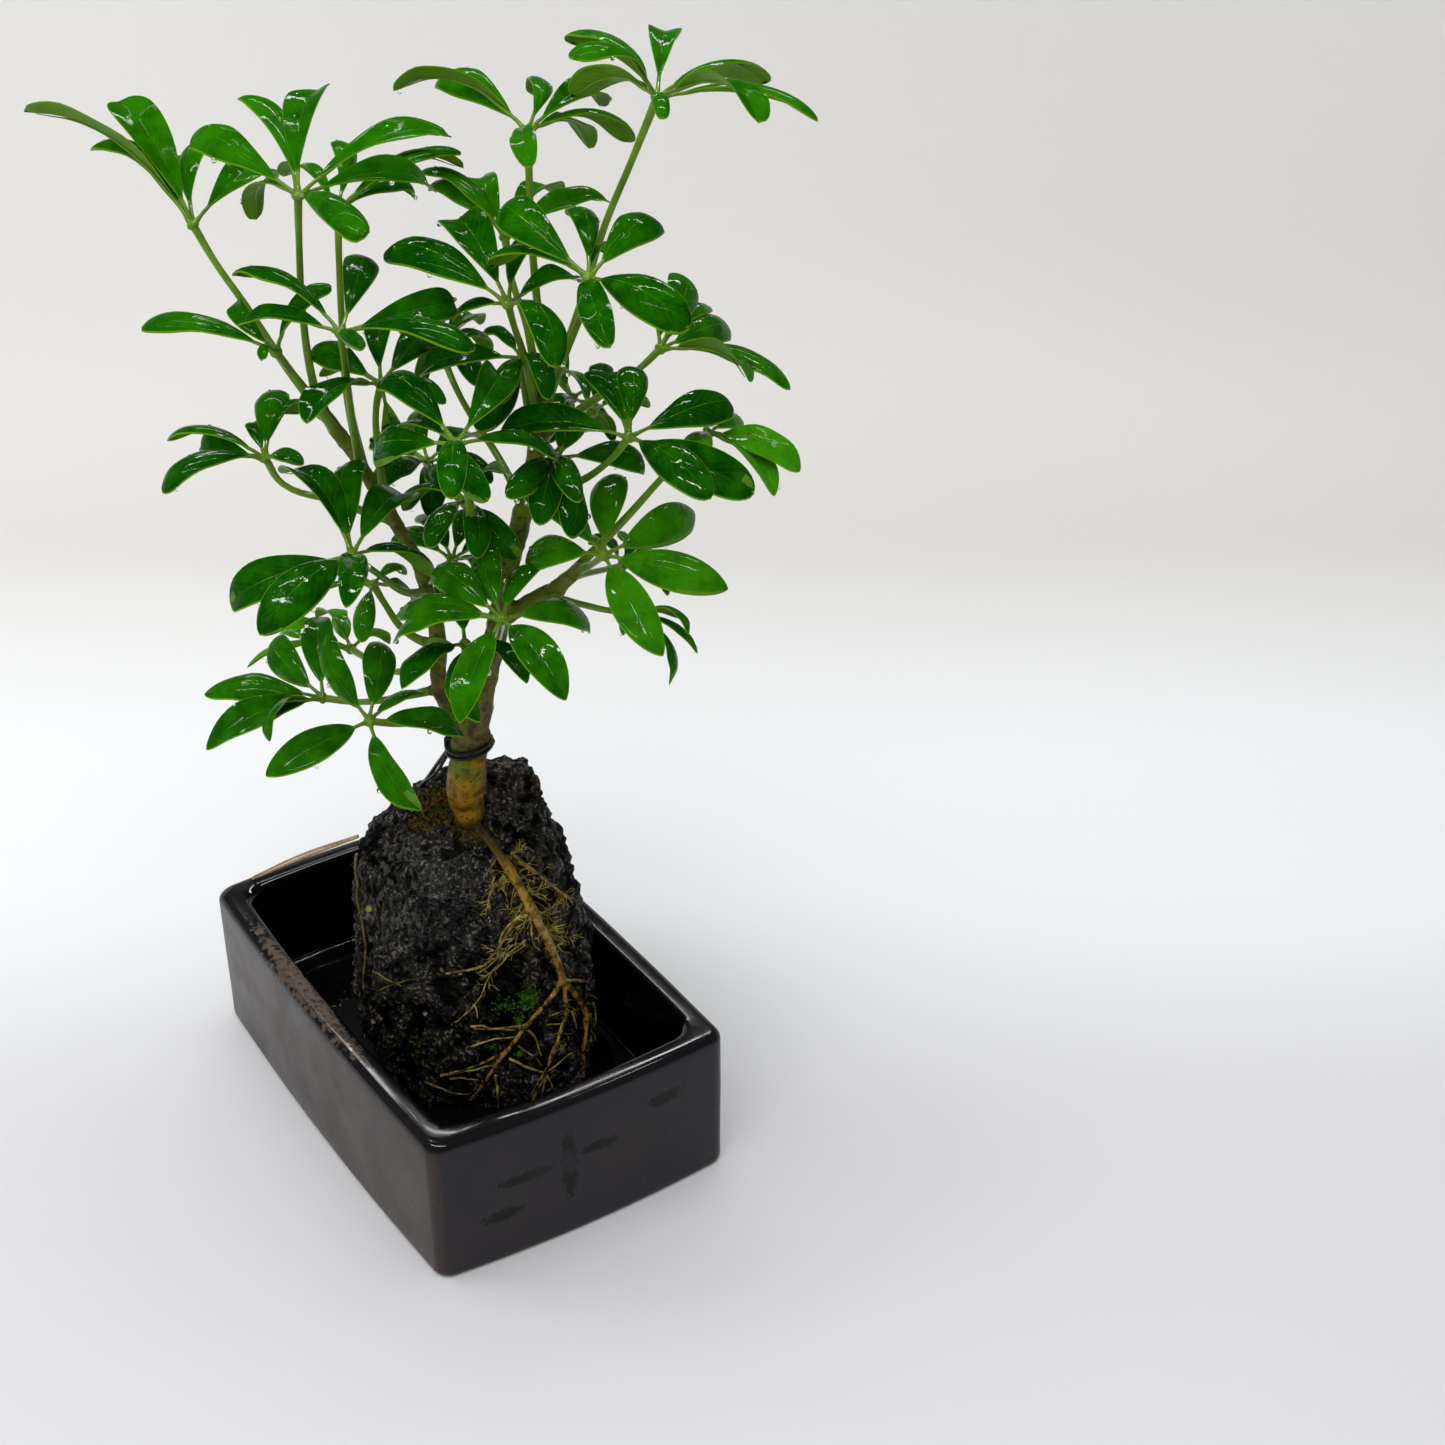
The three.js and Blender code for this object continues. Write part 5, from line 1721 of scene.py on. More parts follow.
# The thick roots that the wood grows down the rock: radii in millimetres, then pixels.
ROOTS = (
    (2.2, 1.4, ((473, 818), (481, 827), (498, 850), (510, 870), (523, 894), (539, 923), (552, 950),
                (563, 981))),
    (1.15, 0.75, ((563, 979), (552, 996), (526, 1025), (497, 1064), (470, 1100))),
    (1.3, 0.9, ((562, 977), (578, 996), (587, 1017), (581, 1054), (583, 1078))),
    (0.9, 0.7, ((562, 980), (567, 1012), (555, 1049), (544, 1075), (531, 1102))),
    (0.9, 0.7, ((494, 852), (520, 862), (542, 878), (566, 899))),
    (0.85, 0.6, ((528, 905), (508, 928), (489, 965), (462, 972), (444, 973))),
    (0.75, 0.55, ((526, 1025), (500, 1029), (472, 1027))),
    (0.75, 0.5, ((507, 1050), (476, 1066), (443, 1074))),
)
ROOT_START = (469, 806, 8)

# Knots on the wood: pixels, depth and radius in millimetres.
KNOTS = (
    (488, 741, 12, 2.6), (485, 733, 14, 2.2), (449, 705, 15, 3.2), (440, 690, 14, 2.8), (497, 624, 13, 3.8),
    (556, 589, 15, 3.0), (528, 604, 13, 2.9), (458, 735, 15, 2.2), (476, 700, 15, 2.4),
)


@dataclass
class Wood:
    """Trunk, branches and thick roots, grown together under one bark."""

    rock: Rock
    finish: BarkFinish = BarkFinish()
    voxel: float = 0.5 * MM
    swelling: float = 0.55 * MM
    ring: float = 0.22 * MM
    ring_gap: float = 1.9 * MM
    wrinkle: float = 0.22 * MM
    relaxing: int = 4

    def relief(self, place: Vector) -> float:
        """Gives the bark's height.

        Args:
            place: The place.

        Returns:
            The height in metres.
        """
        swell = self.swelling * noise.noise(place / (8 * MM)) * smooth(90 * MM, 130 * MM, place.z)
        rings = math.sin(place.z / self.ring_gap + 2.5 * noise.noise(place / (12 * MM)))
        above = smooth(128 * MM, 150 * MM, place.z)
        lengthwise = Vector((place.x, place.y, place.z * 0.3))
        wrinkles = self.wrinkle * noise.fractal(lengthwise / (1.6 * MM), 0.8, 2.0, 3)
        return swell + self.ring * above * max(rings, 0.0) ** 3 + wrinkles

    def paths(self, leaves: Iterable[Leaf]) -> list[Path]:
        """Gives every limb: the branches, the thick roots and the collars of the petioles.

        Args:
            leaves: The leaves.

        Returns:
            For each limb its points and radii.
        """
        made = []
        for stations in LIMBS.values():
            points = [VIEW.place(station[:2], station[2]) for station in stations]
            made.append((points, [station[3] * MM for station in stations]))
        for index, (thick, thin, path) in enumerate(ROOTS):
            points, radii = self.rock.laid(path, (thick * MM, thin * MM), 10.0)
            if index == 0:
                points.insert(0, VIEW.place(ROOT_START[:2], ROOT_START[2]))
                radii.insert(0, thick * MM)
            made.append((points, radii))
        for leaf in leaves:
            foot, before = leaf.stem[-1], leaf.stem[-2]
            way = (before - foot).normalized()
            collar = [foot - way * 1 * MM, foot + way * 2.5 * MM, foot + way * 6 * MM]
            made.append((collar, [2.3 * MM, 1.9 * MM, 1.3 * MM]))
        return made

    def build(self, leaves: Iterable[Leaf]) -> None:
        """Makes the piece.

        Args:
            leaves: The leaves that it carries.
        """
        raw = bmesh.new()
        add_tubes(raw, self.paths(leaves), 6, 6)
        for x, y, depth, radius in KNOTS:
            matrix = Matrix.Translation(VIEW.place((x, y), depth))
            bmesh.ops.create_icosphere(raw, subdivisions=3, radius=radius * MM, matrix=matrix)
        shape = remeshed(raw, self.voxel)
        relax(shape, self.relaxing)
        displaced(shape, self.relief)
        finish_piece("bark_and_roots", shape, [self.finish.material()], ["wood"], math.pi)


# Fine roots: radius in millimetres, age from 0 for yellow to 1 for dark, then pixels.
ROOTLETS = (
    (0.6, 0.1, ((527, 915), (516, 917), (508, 926), (501, 934), (499, 947), (497, 958), (488, 966),
                (478, 973))),
    (0.5, 0.1, ((525, 940), (514, 949), (506, 955), (499, 966), (491, 973), (486, 981), (482, 992),
                (475, 1004))),
    (0.45, 0.2, ((475, 1004), (467, 1012), (459, 1020), (452, 1024))),
    (0.4, 0.2, ((475, 1004), (478, 1012), (477, 1018))),
    (0.45, 0.1, ((525, 945), (516, 952), (508, 955), (503, 960))),
    (0.45, 0.1, ((524, 943), (514, 944), (509, 947), (505, 955))),
    (0.55, 0.2, ((470, 1026), (482, 1025), (493, 1028), (504, 1030), (514, 1030))),
    (0.5, 0.2, ((472, 1046), (484, 1041), (495, 1038), (508, 1038), (516, 1036))),
    (0.6, 0.1, ((441, 1074), (452, 1073), (467, 1070), (478, 1069), (486, 1066), (496, 1066))),
    (0.5, 0.1, ((425, 1082), (437, 1086), (448, 1091), (459, 1094), (472, 1093))),
    (0.45, 0.1, ((450, 1078), (461, 1077), (471, 1079), (482, 1080))),
    (0.7, 0.1, ((496, 1074), (497, 1087), (498, 1100), (498, 1112))),
    (0.45, 0.1, ((497, 1107), (503, 1112), (508, 1115))),
    (0.6, 0.3, ((528, 1030), (534, 1037), (538, 1046), (541, 1055))),
    (0.5, 0.3, ((519, 1045), (528, 1052), (538, 1059), (541, 1066))),
    (0.65, 0.1, ((509, 1058), (519, 1063), (530, 1067), (540, 1072), (546, 1072), (555, 1066),
                 (564, 1057), (572, 1053))),
    (0.75, 0.25, ((567, 1010), (562, 1025), (555, 1044), (549, 1061), (545, 1072), (538, 1080), (532, 1094))),
    (0.55, 0.15, ((544, 1072), (551, 1083), (555, 1098))),
    (0.55, 0.15, ((545, 1076), (542, 1089), (541, 1099))),
    (0.9, 0.6, ((567, 979), (575, 979), (583, 981), (594, 980))),
    (0.5, 0.8, ((586, 993), (592, 996), (597, 999))),
    (0.6, 0.2, ((592, 1003), (594, 1010), (595, 1018), (594, 1027))),
    (0.7, 0.4, ((588, 1014), (591, 1027), (590, 1042))),
    (0.5, 0.4, ((571, 1012), (574, 1021), (576, 1029))),
    (0.4, 0.2, ((547, 1025), (554, 1024), (562, 1023))),
    (0.4, 0.2, ((548, 1016), (554, 1014), (560, 1012))),
    (0.7, 0.85, ((357, 848), (357, 870), (358, 887), (359, 904), (363, 919), (366, 943), (366, 962),
                 (364, 978), (366, 998))),
    (0.5, 0.7, ((374, 971), (380, 974), (387, 979), (395, 983), (402, 986))),
    (0.45, 0.8, ((381, 990), (389, 986), (397, 983), (408, 979), (420, 978))),
    (0.7, 0.75, ((513, 855), (526, 864), (541, 877), (555, 889), (567, 898), (578, 911))),
    (0.45, 0.2, ((511, 853), (517, 852), (522, 849), (525, 844))),
    (0.5, 0.5, ((499, 853), (493, 864), (486, 875), (482, 882))),
    (0.45, 0.6, ((494, 876), (491, 889), (487, 901), (489, 912))),
    (0.5, 0.3, ((543, 931), (552, 936), (560, 941), (566, 945))),
    (0.4, 0.2, ((531, 925), (532, 937), (534, 944), (540, 950))),
    (0.45, 0.3, ((536, 917), (540, 928), (548, 936), (556, 941))),
    (0.4, 0.6, ((445, 812), (434, 816), (424, 822), (412, 826))),
)


@dataclass(frozen=True)
class HairBed:
    """Hair roots that leave a root between two pixels, all about one way: radians, 0 to the right and
    a quarter turn down the picture."""

    start: Pixel
    end: Pixel
    heading: float
    count: int
    steps: int
    age: float


HAIR_BEDS = (
    HairBed((503, 868), (533, 922), 2.45, 20, 5, 0.1),
    HairBed((494, 872), (488, 905), 2.0, 9, 4, 0.3),
    HairBed((518, 872), (552, 942), 0.35, 28, 6, 0.25),
    HairBed((545, 880), (572, 905), 1.1, 12, 4, 0.5),
    HairBed((528, 915), (502, 955), 2.2, 15, 5, 0.0),
    HairBed((536, 920), (556, 952), 0.95, 13, 4, 0.05),
    HairBed((512, 856), (522, 852), -0.9, 5, 3, 0.2),
    HairBed((586, 1000), (592, 1036), 0.6, 10, 3, 0.2),
    HairBed((565, 1000), (556, 1044), 0.8, 9, 3, 0.3),
    HairBed((492, 970), (476, 1004), 1.7, 6, 3, 0.1),
    HairBed((455, 818), (478, 832), 1.4, 22, 3, 0.75),
)


@dataclass
class Rootlets:
    """The fine roots over the rock, and the hair roots in their masses."""

    rock: Rock
    finish: BarkFinish = BarkFinish()
    taper: Pair = (0.85, 0.35)
    hair_thick: Pair = (0.14 * MM, 0.25 * MM)
    hair_end: float = 0.09 * MM
    hair_lift: Pair = (0.2 * MM, 1.0 * MM)
    stride: float = 4.6
    forks: float = 0.4
    fork_turn: float = 0.7

    def strand(self, shape: Shape, points: list, radii: list, age: float, rings: int) -> None:
        """Adds one root.

        Args:
            shape: The shape that it goes into.
            points: Its points.
            radii: Its radius at each.
            age: 0 for yellow, 1 for dark.
            rings: The bevel resolution of its tube.
        """
        start = len(shape.verts)
        add_tubes(shape, [(points, radii)], rings, 3)
        shape.verts.ensure_lookup_table()
        layer = shape.verts.layers.float["age"]
        for vert in shape.verts[start:]:
            vert[layer] = age

    def build(self) -> None:
        """Makes the piece."""
        shape = bmesh.new()
        shape.verts.layers.float.new("age")
        for radius, age, path in ROOTLETS:
            ends = tuple(share * radius * MM for share in self.taper)
            points, radii = self.rock.laid(path, ends, 3.5)
            if len(points) > 1:
                self.strand(shape, points, radii, age, 2)
        chance = random.Random(SEED)
        for bed in HAIR_BEDS:
            for _ in range(bed.count):
                share = chance.random()
                start = (lerp(bed.start[0], bed.end[0], share), lerp(bed.start[1], bed.end[1], share))
                steps = chance.randint(max(bed.steps - 2, 2), bed.steps + 1)
                age = min(max(bed.age + chance.uniform(-0.15, 0.25), 0.0), 1.0)
                self.hair(shape, chance, start, bed.heading + chance.gauss(0, 0.45), steps, age)
        finish_piece("rootlets", shape, [self.finish.rootlet()], crease=math.pi)

    def hair(
        self, shape: Shape, chance: random.Random, pixel: Pixel, heading: float, steps: int, age: float
    ) -> None:
        """Adds one hair root that wanders over the rock, and the sprigs that leave it.

        Args:
            shape: The shape that it goes into.
            chance: The random numbers.
            pixel: The pixel that it starts from.
            heading: Its way in the picture, in radians.
            steps: How many short steps it goes.
            age: 0 for yellow, 1 for dark.
        """
        points = []
        for step in range(steps + 1):
            found = self.rock.hit(pixel)
            if not found:
                break
            points.append(found[0] + found[1] * chance.uniform(*self.hair_lift))
            if 0 < step < steps and chance.random() < self.forks:
                side = chance.choice((-self.fork_turn, self.fork_turn)) + chance.gauss(0, 0.15)
                self.hair(shape, chance, pixel, heading + side, min(steps - step, 2), age)
            heading += chance.gauss(0, 0.22)
            pixel = (pixel[0] + self.stride * math.cos(heading), pixel[1] + self.stride * math.sin(heading))
        if len(points) > 1:
            thick = chance.uniform(*self.hair_thick)
            count = len(points) - 1
            radii = [lerp(thick, self.hair_end, index / count) for index in range(count + 1)]
            self.strand(shape, points, radii, age, 0)


# Moss and crust: a pixel, its spread across and down, and how many tufts.
MOSS_BEDS = (
    ((528, 998), (10, 11), 190),
    ((519, 1022), (5, 7), 60),
    ((505, 1004), (12, 10), 60),
    ((578, 992), (4, 4), 40),
    ((519, 1054), (5, 3), 30),
    ((490, 1047), (9, 4), 25),
    ((545, 930), (12, 8), 20),
    ((420, 1045), (18, 18), 34),
    ((445, 800), (9, 12), 60),
)
CRUST_BEDS = (
    ((440, 806), (15, 15), 420),
    ((462, 822), (16, 7), 200),
    ((424, 822), (12, 6), 120),
    ((478, 838), (10, 8), 60),
)


@dataclass
class Moss:
    """Tufts of moss and the fibrous crust at the trunk's foot."""

    rock: Rock
    finish: MossFinish = MossFinish()
    sprig: float = 1.0 * MM
    fibre: float = 2.4 * MM
    sprigs: int = 3
    sprig_lean: float = 0.7
    fibre_lean: float = 1.2

    def __post_init__(self) -> None:
        """Makes the sprig that the others are copies of."""
        sprig = bmesh.new()
        bmesh.ops.create_cone(sprig, cap_ends=True, segments=4, radius1=0.2, radius2=0.02, depth=1.0)
        self.stamp = Stamp(sprig)

    def tuft(self, shape: Shape, foot: Vector, way: Vector, length: float) -> None:
        """Adds one pointed sprig."""
        place = Matrix.Translation(foot + way * (length * 0.4))
        self.stamp.press(shape, place @ turned(way) @ Matrix.Diagonal((length, length, length, 1.0)))

    def bed(self, shape: Shape, chance: random.Random, bed: tuple, length: float, lean: float) -> None:
        """Adds a bed of tufts round a pixel.

        Args:
            shape: The shape that they go into.
            chance: The random numbers.
            bed: The pixel, the spread across and down, and the number of tufts.
            length: A sprig's usual length in metres.
            lean: How far the sprigs lean aside.
        """
        centre, spread, count = bed
        for _ in range(count):
            pixel = (chance.gauss(centre[0], spread[0] / 2), chance.gauss(centre[1], spread[1] / 2))
            found = self.rock.hit(pixel)
            if not found:
                continue
            for _ in range(self.sprigs):
                stray = Vector((chance.gauss(0, lean), chance.gauss(0, lean), chance.gauss(0, lean)))
                way = (found[1] + stray).normalized()
                self.tuft(shape, found[0], way, length * chance.uniform(0.6, 1.3))

    def build(self) -> None:
        """Makes both pieces."""
        chance = random.Random(SEED + 1)
        moss = bmesh.new()
        for bed in MOSS_BEDS:
            self.bed(moss, chance, bed, self.sprig, self.sprig_lean)
        finish_piece("moss", moss, [self.finish.fresh()])
        crust = bmesh.new()
        for bed in CRUST_BEDS:
            self.bed(crust, chance, bed, self.fibre, self.fibre_lean)
        finish_piece("moss_crust", crust, [self.finish.crust()])


@dataclass
class Tray:
    """The glazed tray: bowed walls, rounded rim and corners, and one corner that stands proud."""

    finish: GlazeFinish = GlazeFinish()
    length: float = 180 * MM
    width: float = 112.4 * MM
    height: float = 57.8 * MM
    wall: float = 9 * MM
    floor: float = 8 * MM
    corner: float = 5 * MM
    inner_corner: float = 9 * MM
    bow_long: float = 2.5 * MM
    bow_short: float = 3.3 * MM
    proud: Pair = (0.6 * MM, 2.4 * MM)
    rim_rise: float = 3.4 * MM
    rim_outer: float = 3.0 * MM
    rim_inner: float = 2.6 * MM
    floor_bend: float = 4.5 * MM
    arc_steps: int = 10
    side_steps: int = 20

    def outline(self, inset: float) -> Outline:
        """Gives the plan outline.

        Args:
            inset: How far it is drawn in.

        Returns:
            Its points in order.
        """
        half_x = self.length / 2 - inset
        half_y = self.width / 2 - inset
        radius = lerp(self.corner, self.inner_corner, min(inset / self.wall, 1.0))
        points = []
        for corner in range(4):
            sign_x = 1 if corner in (0, 3) else -1
            sign_y = 1 if corner < 2 else -1
            for step in range(self.arc_steps + 1):
                turn = math.pi / 2 * (corner + step / self.arc_steps)
                points.append((
                    sign_x * (half_x - radius) + radius * math.cos(turn),
                    sign_y * (half_y - radius) + radius * math.sin(turn),
                ))
            along_x = corner % 2 == 0
            reach = (half_x if along_x else half_y) - radius
            for step in range(1, self.side_steps):
                share = 1 - 2 * step / self.side_steps
                if along_x:
                    points.append((sign_x * reach * share, sign_y * half_y))
                else:
                    points.append((sign_x * half_x, sign_y * reach * share))
        return [self.bowed(x, y, half_x, half_y) for x, y in points]

    def bowed(self, x: float, y: float, half_x: float, half_y: float) -> Pair:
        """Bows the sides out, and moves the proud corner.

        Args:
            x: A point's place along the tray.
            y: Its place across the tray.
            half_x: The outline's half length.
            half_y: The outline's half width.

        Returns:
            The point's new place.
        """
        bow_x = max(self.bow_short * (1 - (y / half_y) ** 2), 0.0)
        bow_y = max(self.bow_long * (1 - (x / half_x) ** 2), 0.0)
        proud = max((1 + x / half_x) / 2, 0.0) ** 2 * max((1 + y / half_y) / 2, 0.0) ** 2
        return x + bow_x * x / half_x + self.proud[0] * proud, y + bow_y * y / half_y + self.proud[1] * proud

    def profile(self) -> Outline:
        """Gives the wall's section.

        Returns:
            Insets and heights, from the foot over the rim to the inner floor.
        """
        foot = ((2.4, 0.0), (1.2, 0.15), (0.5, 0.7), (0.1, 1.7), (0.0, 3))
        made = [(inset * MM, height * MM) for inset, height in foot]
        made += [(0.0, height * MM) for height in (12, 22, 32, 42, 50)]
        quarter = [math.pi / 2 * step / 6 for step in range(7)]
        for turn in quarter:
            height = self.height - self.rim_rise + self.rim_rise * math.sin(turn)
            made.append((self.rim_outer * (1 - math.cos(turn)), height))
        for turn in quarter:
            inset = self.wall - self.rim_inner * (1 - math.sin(turn))
            made.append((inset, self.height - self.rim_inner * (1 - math.cos(turn))))
        inner = ((0.25, 45), (0.6, 28), (0.9, 15))
        made += [(self.wall + inset * MM, height * MM) for inset, height in inner]
        for step in range(6):
            turn = math.pi / 2 * step / 5
            inset = self.wall + 1.1 * MM + self.floor_bend * (1 - math.cos(turn))
            made.append((inset, self.floor + self.floor_bend * (1 - math.sin(turn))))
        return made

    def build(self) -> None:
        """Makes the piece."""
        shape = bmesh.new()
        profile = self.profile()
        first = self.outline(profile[0][0])
        bmesh.ops.create_circle(shape, cap_ends=False, segments=len(first), radius=1.0)
        ring = self.in_order(shape.verts)
        self.lay(ring, first, profile[0][1])
        shape.faces.new(ring)
        for inset, height in profile[1:]:
            last = set(ring)
            edges = [edge for edge in shape.edges if last.issuperset(edge.verts)]
            grown = bmesh.ops.extrude_edge_only(shape, edges=edges)
            above = {}
            for vert in (item for item in grown["geom"] if isinstance(item, bmesh.types.BMVert)):
                ends = (edge.other_vert(vert) for edge in vert.link_edges)
                above[next(end for end in ends if end in last)] = vert
            ring = [above[vert] for vert in ring]
            self.lay(ring, self.outline(inset), height)
        shape.faces.new(ring)
        bmesh.ops.recalc_face_normals(shape, faces=shape.faces)
        displaced(shape, self.unevenness)
        glaze = self.finish.material(self)
        finish_piece("glazed_tray", shape, [glaze], ["tray"], math.radians(45))

    def unevenness(self, place: Vector) -> float:
        """The hand-made walls' slight waves, with none at the foot."""
        return 0.35 * MM * noise.noise(place / (34 * MM)) * smooth(0.0, 8 * MM, place.z)

    @staticmethod
    def in_order(verts: Iterable[bmesh.types.BMVert]) -> list[bmesh.types.BMVert]:
        """Sorts a circle's vertices by their turn."""
        return sorted(verts, key=lambda vert: math.atan2(vert.co.y, vert.co.x) % (2 * math.pi))

    @staticmethod
    def lay(ring: Sequence[bmesh.types.BMVert], outline: Outline, height: float) -> None:
        """Moves a ring of vertices onto an outline at a height."""
        for vert, (x, y) in zip(ring, outline):
            vert.co = (x, y, height)


@dataclass
class Pool:
    """The shallow water in the tray."""

    tray: Tray
    finish: WaterFinish = WaterFinish()
    level: float = 18 * MM
    bottom: float = 8.6 * MM

    def build(self) -> None:
        """Makes the piece: a slab with a meniscus at the wall."""
        shape = bmesh.new()
        section = (
            (5.5 * MM, self.bottom), (2.2 * MM, self.bottom + 1.5 * MM), (1.15 * MM, self.level),
            (2.2 * MM, self.level - 0.5 * MM),
        )
        rings = []
        for inset, height in section:
            outline = self.tray.outline(self.tray.wall + inset)
            circle = bmesh.ops.create_circle(shape, cap_ends=False, segments=len(outline), radius=1.0)
            ring = Tray.in_order(circle["verts"])
            Tray.lay(ring, outline, height)
            rings.append(ring)
        shape.faces.new(rings[0])
        shape.faces.new(rings[-1])
        for low, high in zip(rings, rings[1:]):
            pair = (set(low), set(high))
            edges = [edge for edge in shape.edges if any(ring.issuperset(edge.verts) for ring in pair)]
            bmesh.ops.bridge_loops(shape, edges=edges)
        bmesh.ops.recalc_face_normals(shape, faces=shape.faces)
        water = self.finish.pool()
        finish_piece("tray_water", shape, [water], ["water"], math.radians(40))


@dataclass
class TieWire:
    """The black wire: turns round the trunk, and two strands down to the rock."""

    rock: Rock
    finish: WireFinish = WireFinish()
    radius: float = 0.7 * MM
    axis: tuple[Pixel, float] = ((469, 745), 11)
    reach: float = 7.7 * MM
    turns: float = 2.25
    pitch: float = 2.0 * MM
    tilt: float = 1.6 * MM
    steps: int = 14
    tails: tuple[Pixel, ...] = ((420, 788), (424, 786))
    loop: tuple[Pixel, ...] = ((448, 752), (446, 744), (448, 737), (452, 741))

    def build(self) -> None:
        """Makes the piece."""
        axis = VIEW.place(*self.axis)
        coil = []
        for step in range(round(self.turns * self.steps) + 1):
            turn = 2 * math.pi * step / self.steps + math.pi
            rise = self.pitch * (step / self.steps - self.turns / 2) + self.tilt * math.cos(turn)
            spoke = VIEW.sideways * math.cos(turn) + VIEW.toward * math.sin(turn)
            coil.append(axis + UP * rise + spoke * self.reach)
        paths = []
        for index, tail in enumerate(self.tails):
            point, normal = self.rock.hit(tail)
            end = point + normal * self.radius * 0.4
            start = coil[0] + UP * (index * 1.5 * MM)
            sag = (start + end) / 2 + VIEW.sideways * ((0.8 - 1.6 * index) * MM) - UP * 0.6 * MM
            paths.append([end - normal * 2 * MM, end, sag, start] + (coil[1:] if index == 0 else []))
        paths.append([VIEW.place(pixel, 12) for pixel in self.loop])
        shape = bmesh.new()
        add_tubes(shape, [(points, [self.radius] * len(points)) for points in paths], 4, 5)
        wire = self.finish.material()
        finish_piece("training_wire", shape, [wire], ["tie_wire"], math.pi)


@dataclass
class RimTwig:
    """The dry twig that lies from the rock across the left rim."""

    tray: Tray
    rock: Rock
    finish: BarkFinish = BarkFinish()
    rim_end: Pixel = (253, 879)
    rock_end: Pixel = (358, 837)
    stems: tuple[Pair, ...] = ((0.0, 0.6 * MM), (1.3 * MM, 0.45 * MM))

    def build(self) -> None:
        """Makes the piece."""
        start = VIEW.level(self.rim_end, self.tray.height + 0.6 * MM)
        found = self.rock.hit(self.rock_end)
        end = found[0] if found else VIEW.place(self.rock_end, 0.0)
        paths = []
        for aside, radius in self.stems:
            shift = VIEW.upward * aside
            middle = (start + end) / 2 + shift + UP * 0.6 * MM
            points = [start + shift * 0.6, middle, end + shift * 0.4]
            paths.append((points, [radius * 0.7, radius, radius * 0.8]))
        shape = bmesh.new()
        add_tubes(shape, paths, 2, 8)
        finish_piece("rim_twig", shape, [self.finish.straw()], crease=math.pi)


@dataclass(frozen=True)
class Lamp:
    """A lamp that looks at the tree's middle: either a soft light or a bright shape for reflections.

    Attributes:
        name: Its name.
        place: Its place in metres.
        size: Its length and width in metres.
        power: Its power in watts.
        mirrored: Whether it is only there for the reflections.
    """

    name: str
    place: Triple
    size: Pair
    power: float
    mirrored: bool

    target: Triple = (0.0, 0.0, 0.2)

    def add(self) -> None:
        """Adds the lamp."""
        data = bpy.data.lights.new(self.name, "AREA")
        data.shape = "RECTANGLE"
        data.size, data.size_y = self.size
        data.energy = self.power
        lamp = spawn(self.name, data)
        lamp.visible_glossy = self.mirrored
        lamp.visible_diffuse = not self.mirrored
        way = Vector(self.target) - Vector(self.place)
        turn = way.to_track_quat("-Z", "Y").to_matrix().to_4x4()
        lamp.matrix_world = Matrix.Translation(self.place) @ turn


LAMPS = (
    Lamp("ceiling", (0.1, -0.1, 2.3), (2.8, 2.8), 58.0, False),
    Lamp("front", (1.3, -1.3, 0.9), (1.6, 1.2), 17.0, False),
    Lamp("window", (-1.1, -1.1, 0.75), (0.9, 0.9), 9.0, False),
    Lamp("tube_near", (0.30, -0.40, 1.35), (1.2, 0.06), 13.0, True),
    Lamp("tube_far", (-0.30, 0.20, 1.45), (1.2, 0.06), 13.0, True),
    Lamp("tube_back", (-0.95, 0.65, 1.15), (1.2, 0.06), 7.0, True),
    Lamp("pane", (-1.1, -1.1, 0.75), (0.9, 0.9), 1.0, True),
)


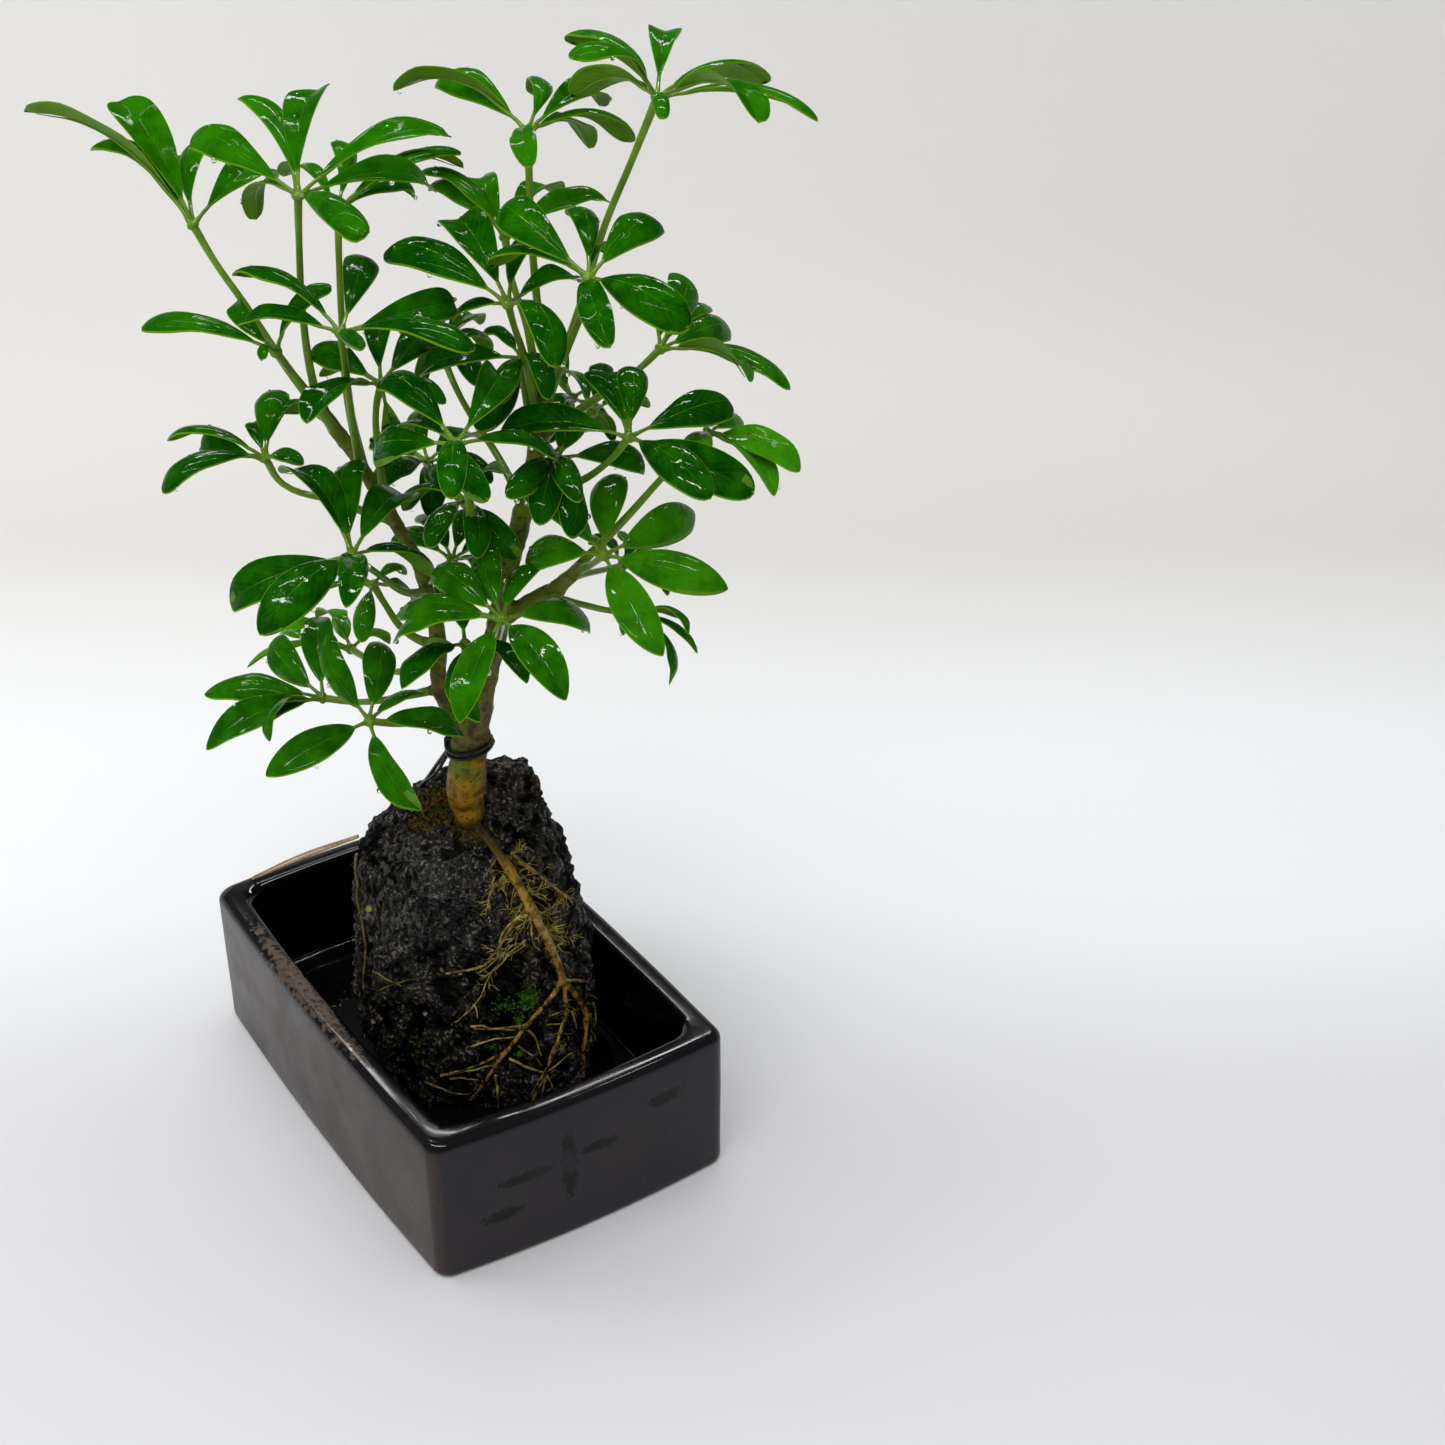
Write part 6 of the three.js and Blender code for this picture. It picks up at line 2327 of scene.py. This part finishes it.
@dataclass
class Studio:
    """The plain pale sweep that the tray stands on, and its soft light."""

    floor_colour: Colour = (0.65, 0.65, 0.668)
    glow_colour: Colour = (0.785, 0.80, 0.815)
    dim_colour: Colour = (0.625, 0.613, 0.587)
    wall_colour: Colour = (0.82, 0.805, 0.79)
    bend_pixel: Pixel = (722, 560)
    reach: float = 1.6
    half_width: float = 2.2
    top: float = 0.42
    bend: float = 0.25
    bend_steps: int = 16
    air_strength: float = 0.12
    seen_strength: float = 0.74

    def build(self) -> None:
        """Makes the sweep, the world's light and the lamps."""
        self.sweep()
        self.air()
        for lamp in LAMPS:
            lamp.add()

    def sweep(self) -> None:
        """Makes the floor that curves up into the backdrop."""
        start = VIEW.level(self.bend_pixel, 0.0).dot(-VIEW.toward)
        shape = bmesh.new()
        section = [(-self.reach, 0.0), (start, 0.0)]
        for step in range(1, self.bend_steps + 1):
            turn = math.pi / 2 * step / self.bend_steps
            section.append((start + self.bend * math.sin(turn), self.bend * (1 - math.cos(turn))))
        section.append((start + self.bend, self.top))
        edge = -VIEW.sideways * self.half_width
        left = [shape.verts.new(edge - VIEW.toward * away + UP * high) for away, high in section]
        edges = [shape.edges.new(pair) for pair in zip(left, left[1:])]
        grown = bmesh.ops.extrude_edge_only(shape, edges=edges)
        fresh = [item for item in grown["geom"] if isinstance(item, bmesh.types.BMVert)]
        bmesh.ops.translate(shape, verts=fresh, vec=VIEW.sideways * (2 * self.half_width))
        bmesh.ops.recalc_face_normals(shape, faces=shape.faces)
        mesh = bpy.data.meshes.new("paper_sweep")
        shape.to_mesh(mesh)
        shape.free()
        mesh.materials.append(self.paper())
        mesh.polygons.foreach_set("use_smooth", [True] * len(mesh.polygons))
        spawn("paper_sweep", mesh)

    def paper(self) -> Material:
        """Makes the pale paper.

        Returns:
            The material.
        """
        nodes = Nodes("paper")
        x, y, z = (nodes.axis(name) for name in "XYZ")
        away = nodes.minus(nodes.times(y, -VIEW.toward.y), nodes.times(x, VIEW.toward.x))
        # The glow band before the bend, the dim band behind it and the lighter wall are painted light and
        # shade.
        colour = nodes.mix(nodes.span(away, -0.03, 0.14), self.floor_colour, self.glow_colour)
        colour = nodes.mix(nodes.span(away, 0.22, 0.5), colour, self.dim_colour)
        colour = nodes.mix(nodes.span(z, 0.06, 0.28), colour, self.wall_colour)
        grain = nodes.bump(nodes.noise(20 * MM), 0.2 * MM, 0.3)
        return nodes.dress(Base_Color=colour, Roughness=0.6, Normal=grain)

    def air(self) -> None:
        """Sets the world's faint even light, which is pale where it is seen beside the sweep."""
        world = bpy.data.worlds.new("studio_air")
        world.use_nodes = True
        tree = world.node_tree
        background = tree.nodes["Background"]
        background.inputs["Color"].default_value = (0.95, 0.97, 1.0, 1.0)
        strength = tree.nodes.new("ShaderNodeMapRange")
        strength.inputs["To Min"].default_value = self.air_strength
        strength.inputs["To Max"].default_value = self.seen_strength
        seen = tree.nodes.new("ShaderNodeLightPath").outputs["Is Camera Ray"]
        tree.links.new(seen, strength.inputs["Value"])
        tree.links.new(strength.outputs["Result"], background.inputs["Strength"])
        bpy.context.scene.world = world
        bpy.context.scene.view_settings.view_transform = "Standard"


def main() -> None:
    """Builds the bonsai piece by piece."""
    logging.basicConfig(level=logging.INFO, format="%(message)s")
    VIEW.add_camera()
    Studio().build()
    tray = Tray()
    tray.build()
    Pool(tray).build()
    rock = Rock()
    rock.build()
    finish = LeafFinish()
    materials = (finish.top(), finish.underside(), finish.stem())
    chance = random.Random(SEED)
    drops = Drops()
    leaves = [Leaf(plan, materials) for plan in LEAVES]
    for leaf in leaves:
        leaf.plan_blades(chance)
        leaf.build()
        leaf.wet(drops, chance)
    Wood(rock).build(leaves)
    Rootlets(rock).build()
    Moss(rock).build()
    TieWire(rock).build()
    RimTwig(tray, rock).build()
    drops.build()


if __name__ == "__main__":
    main()
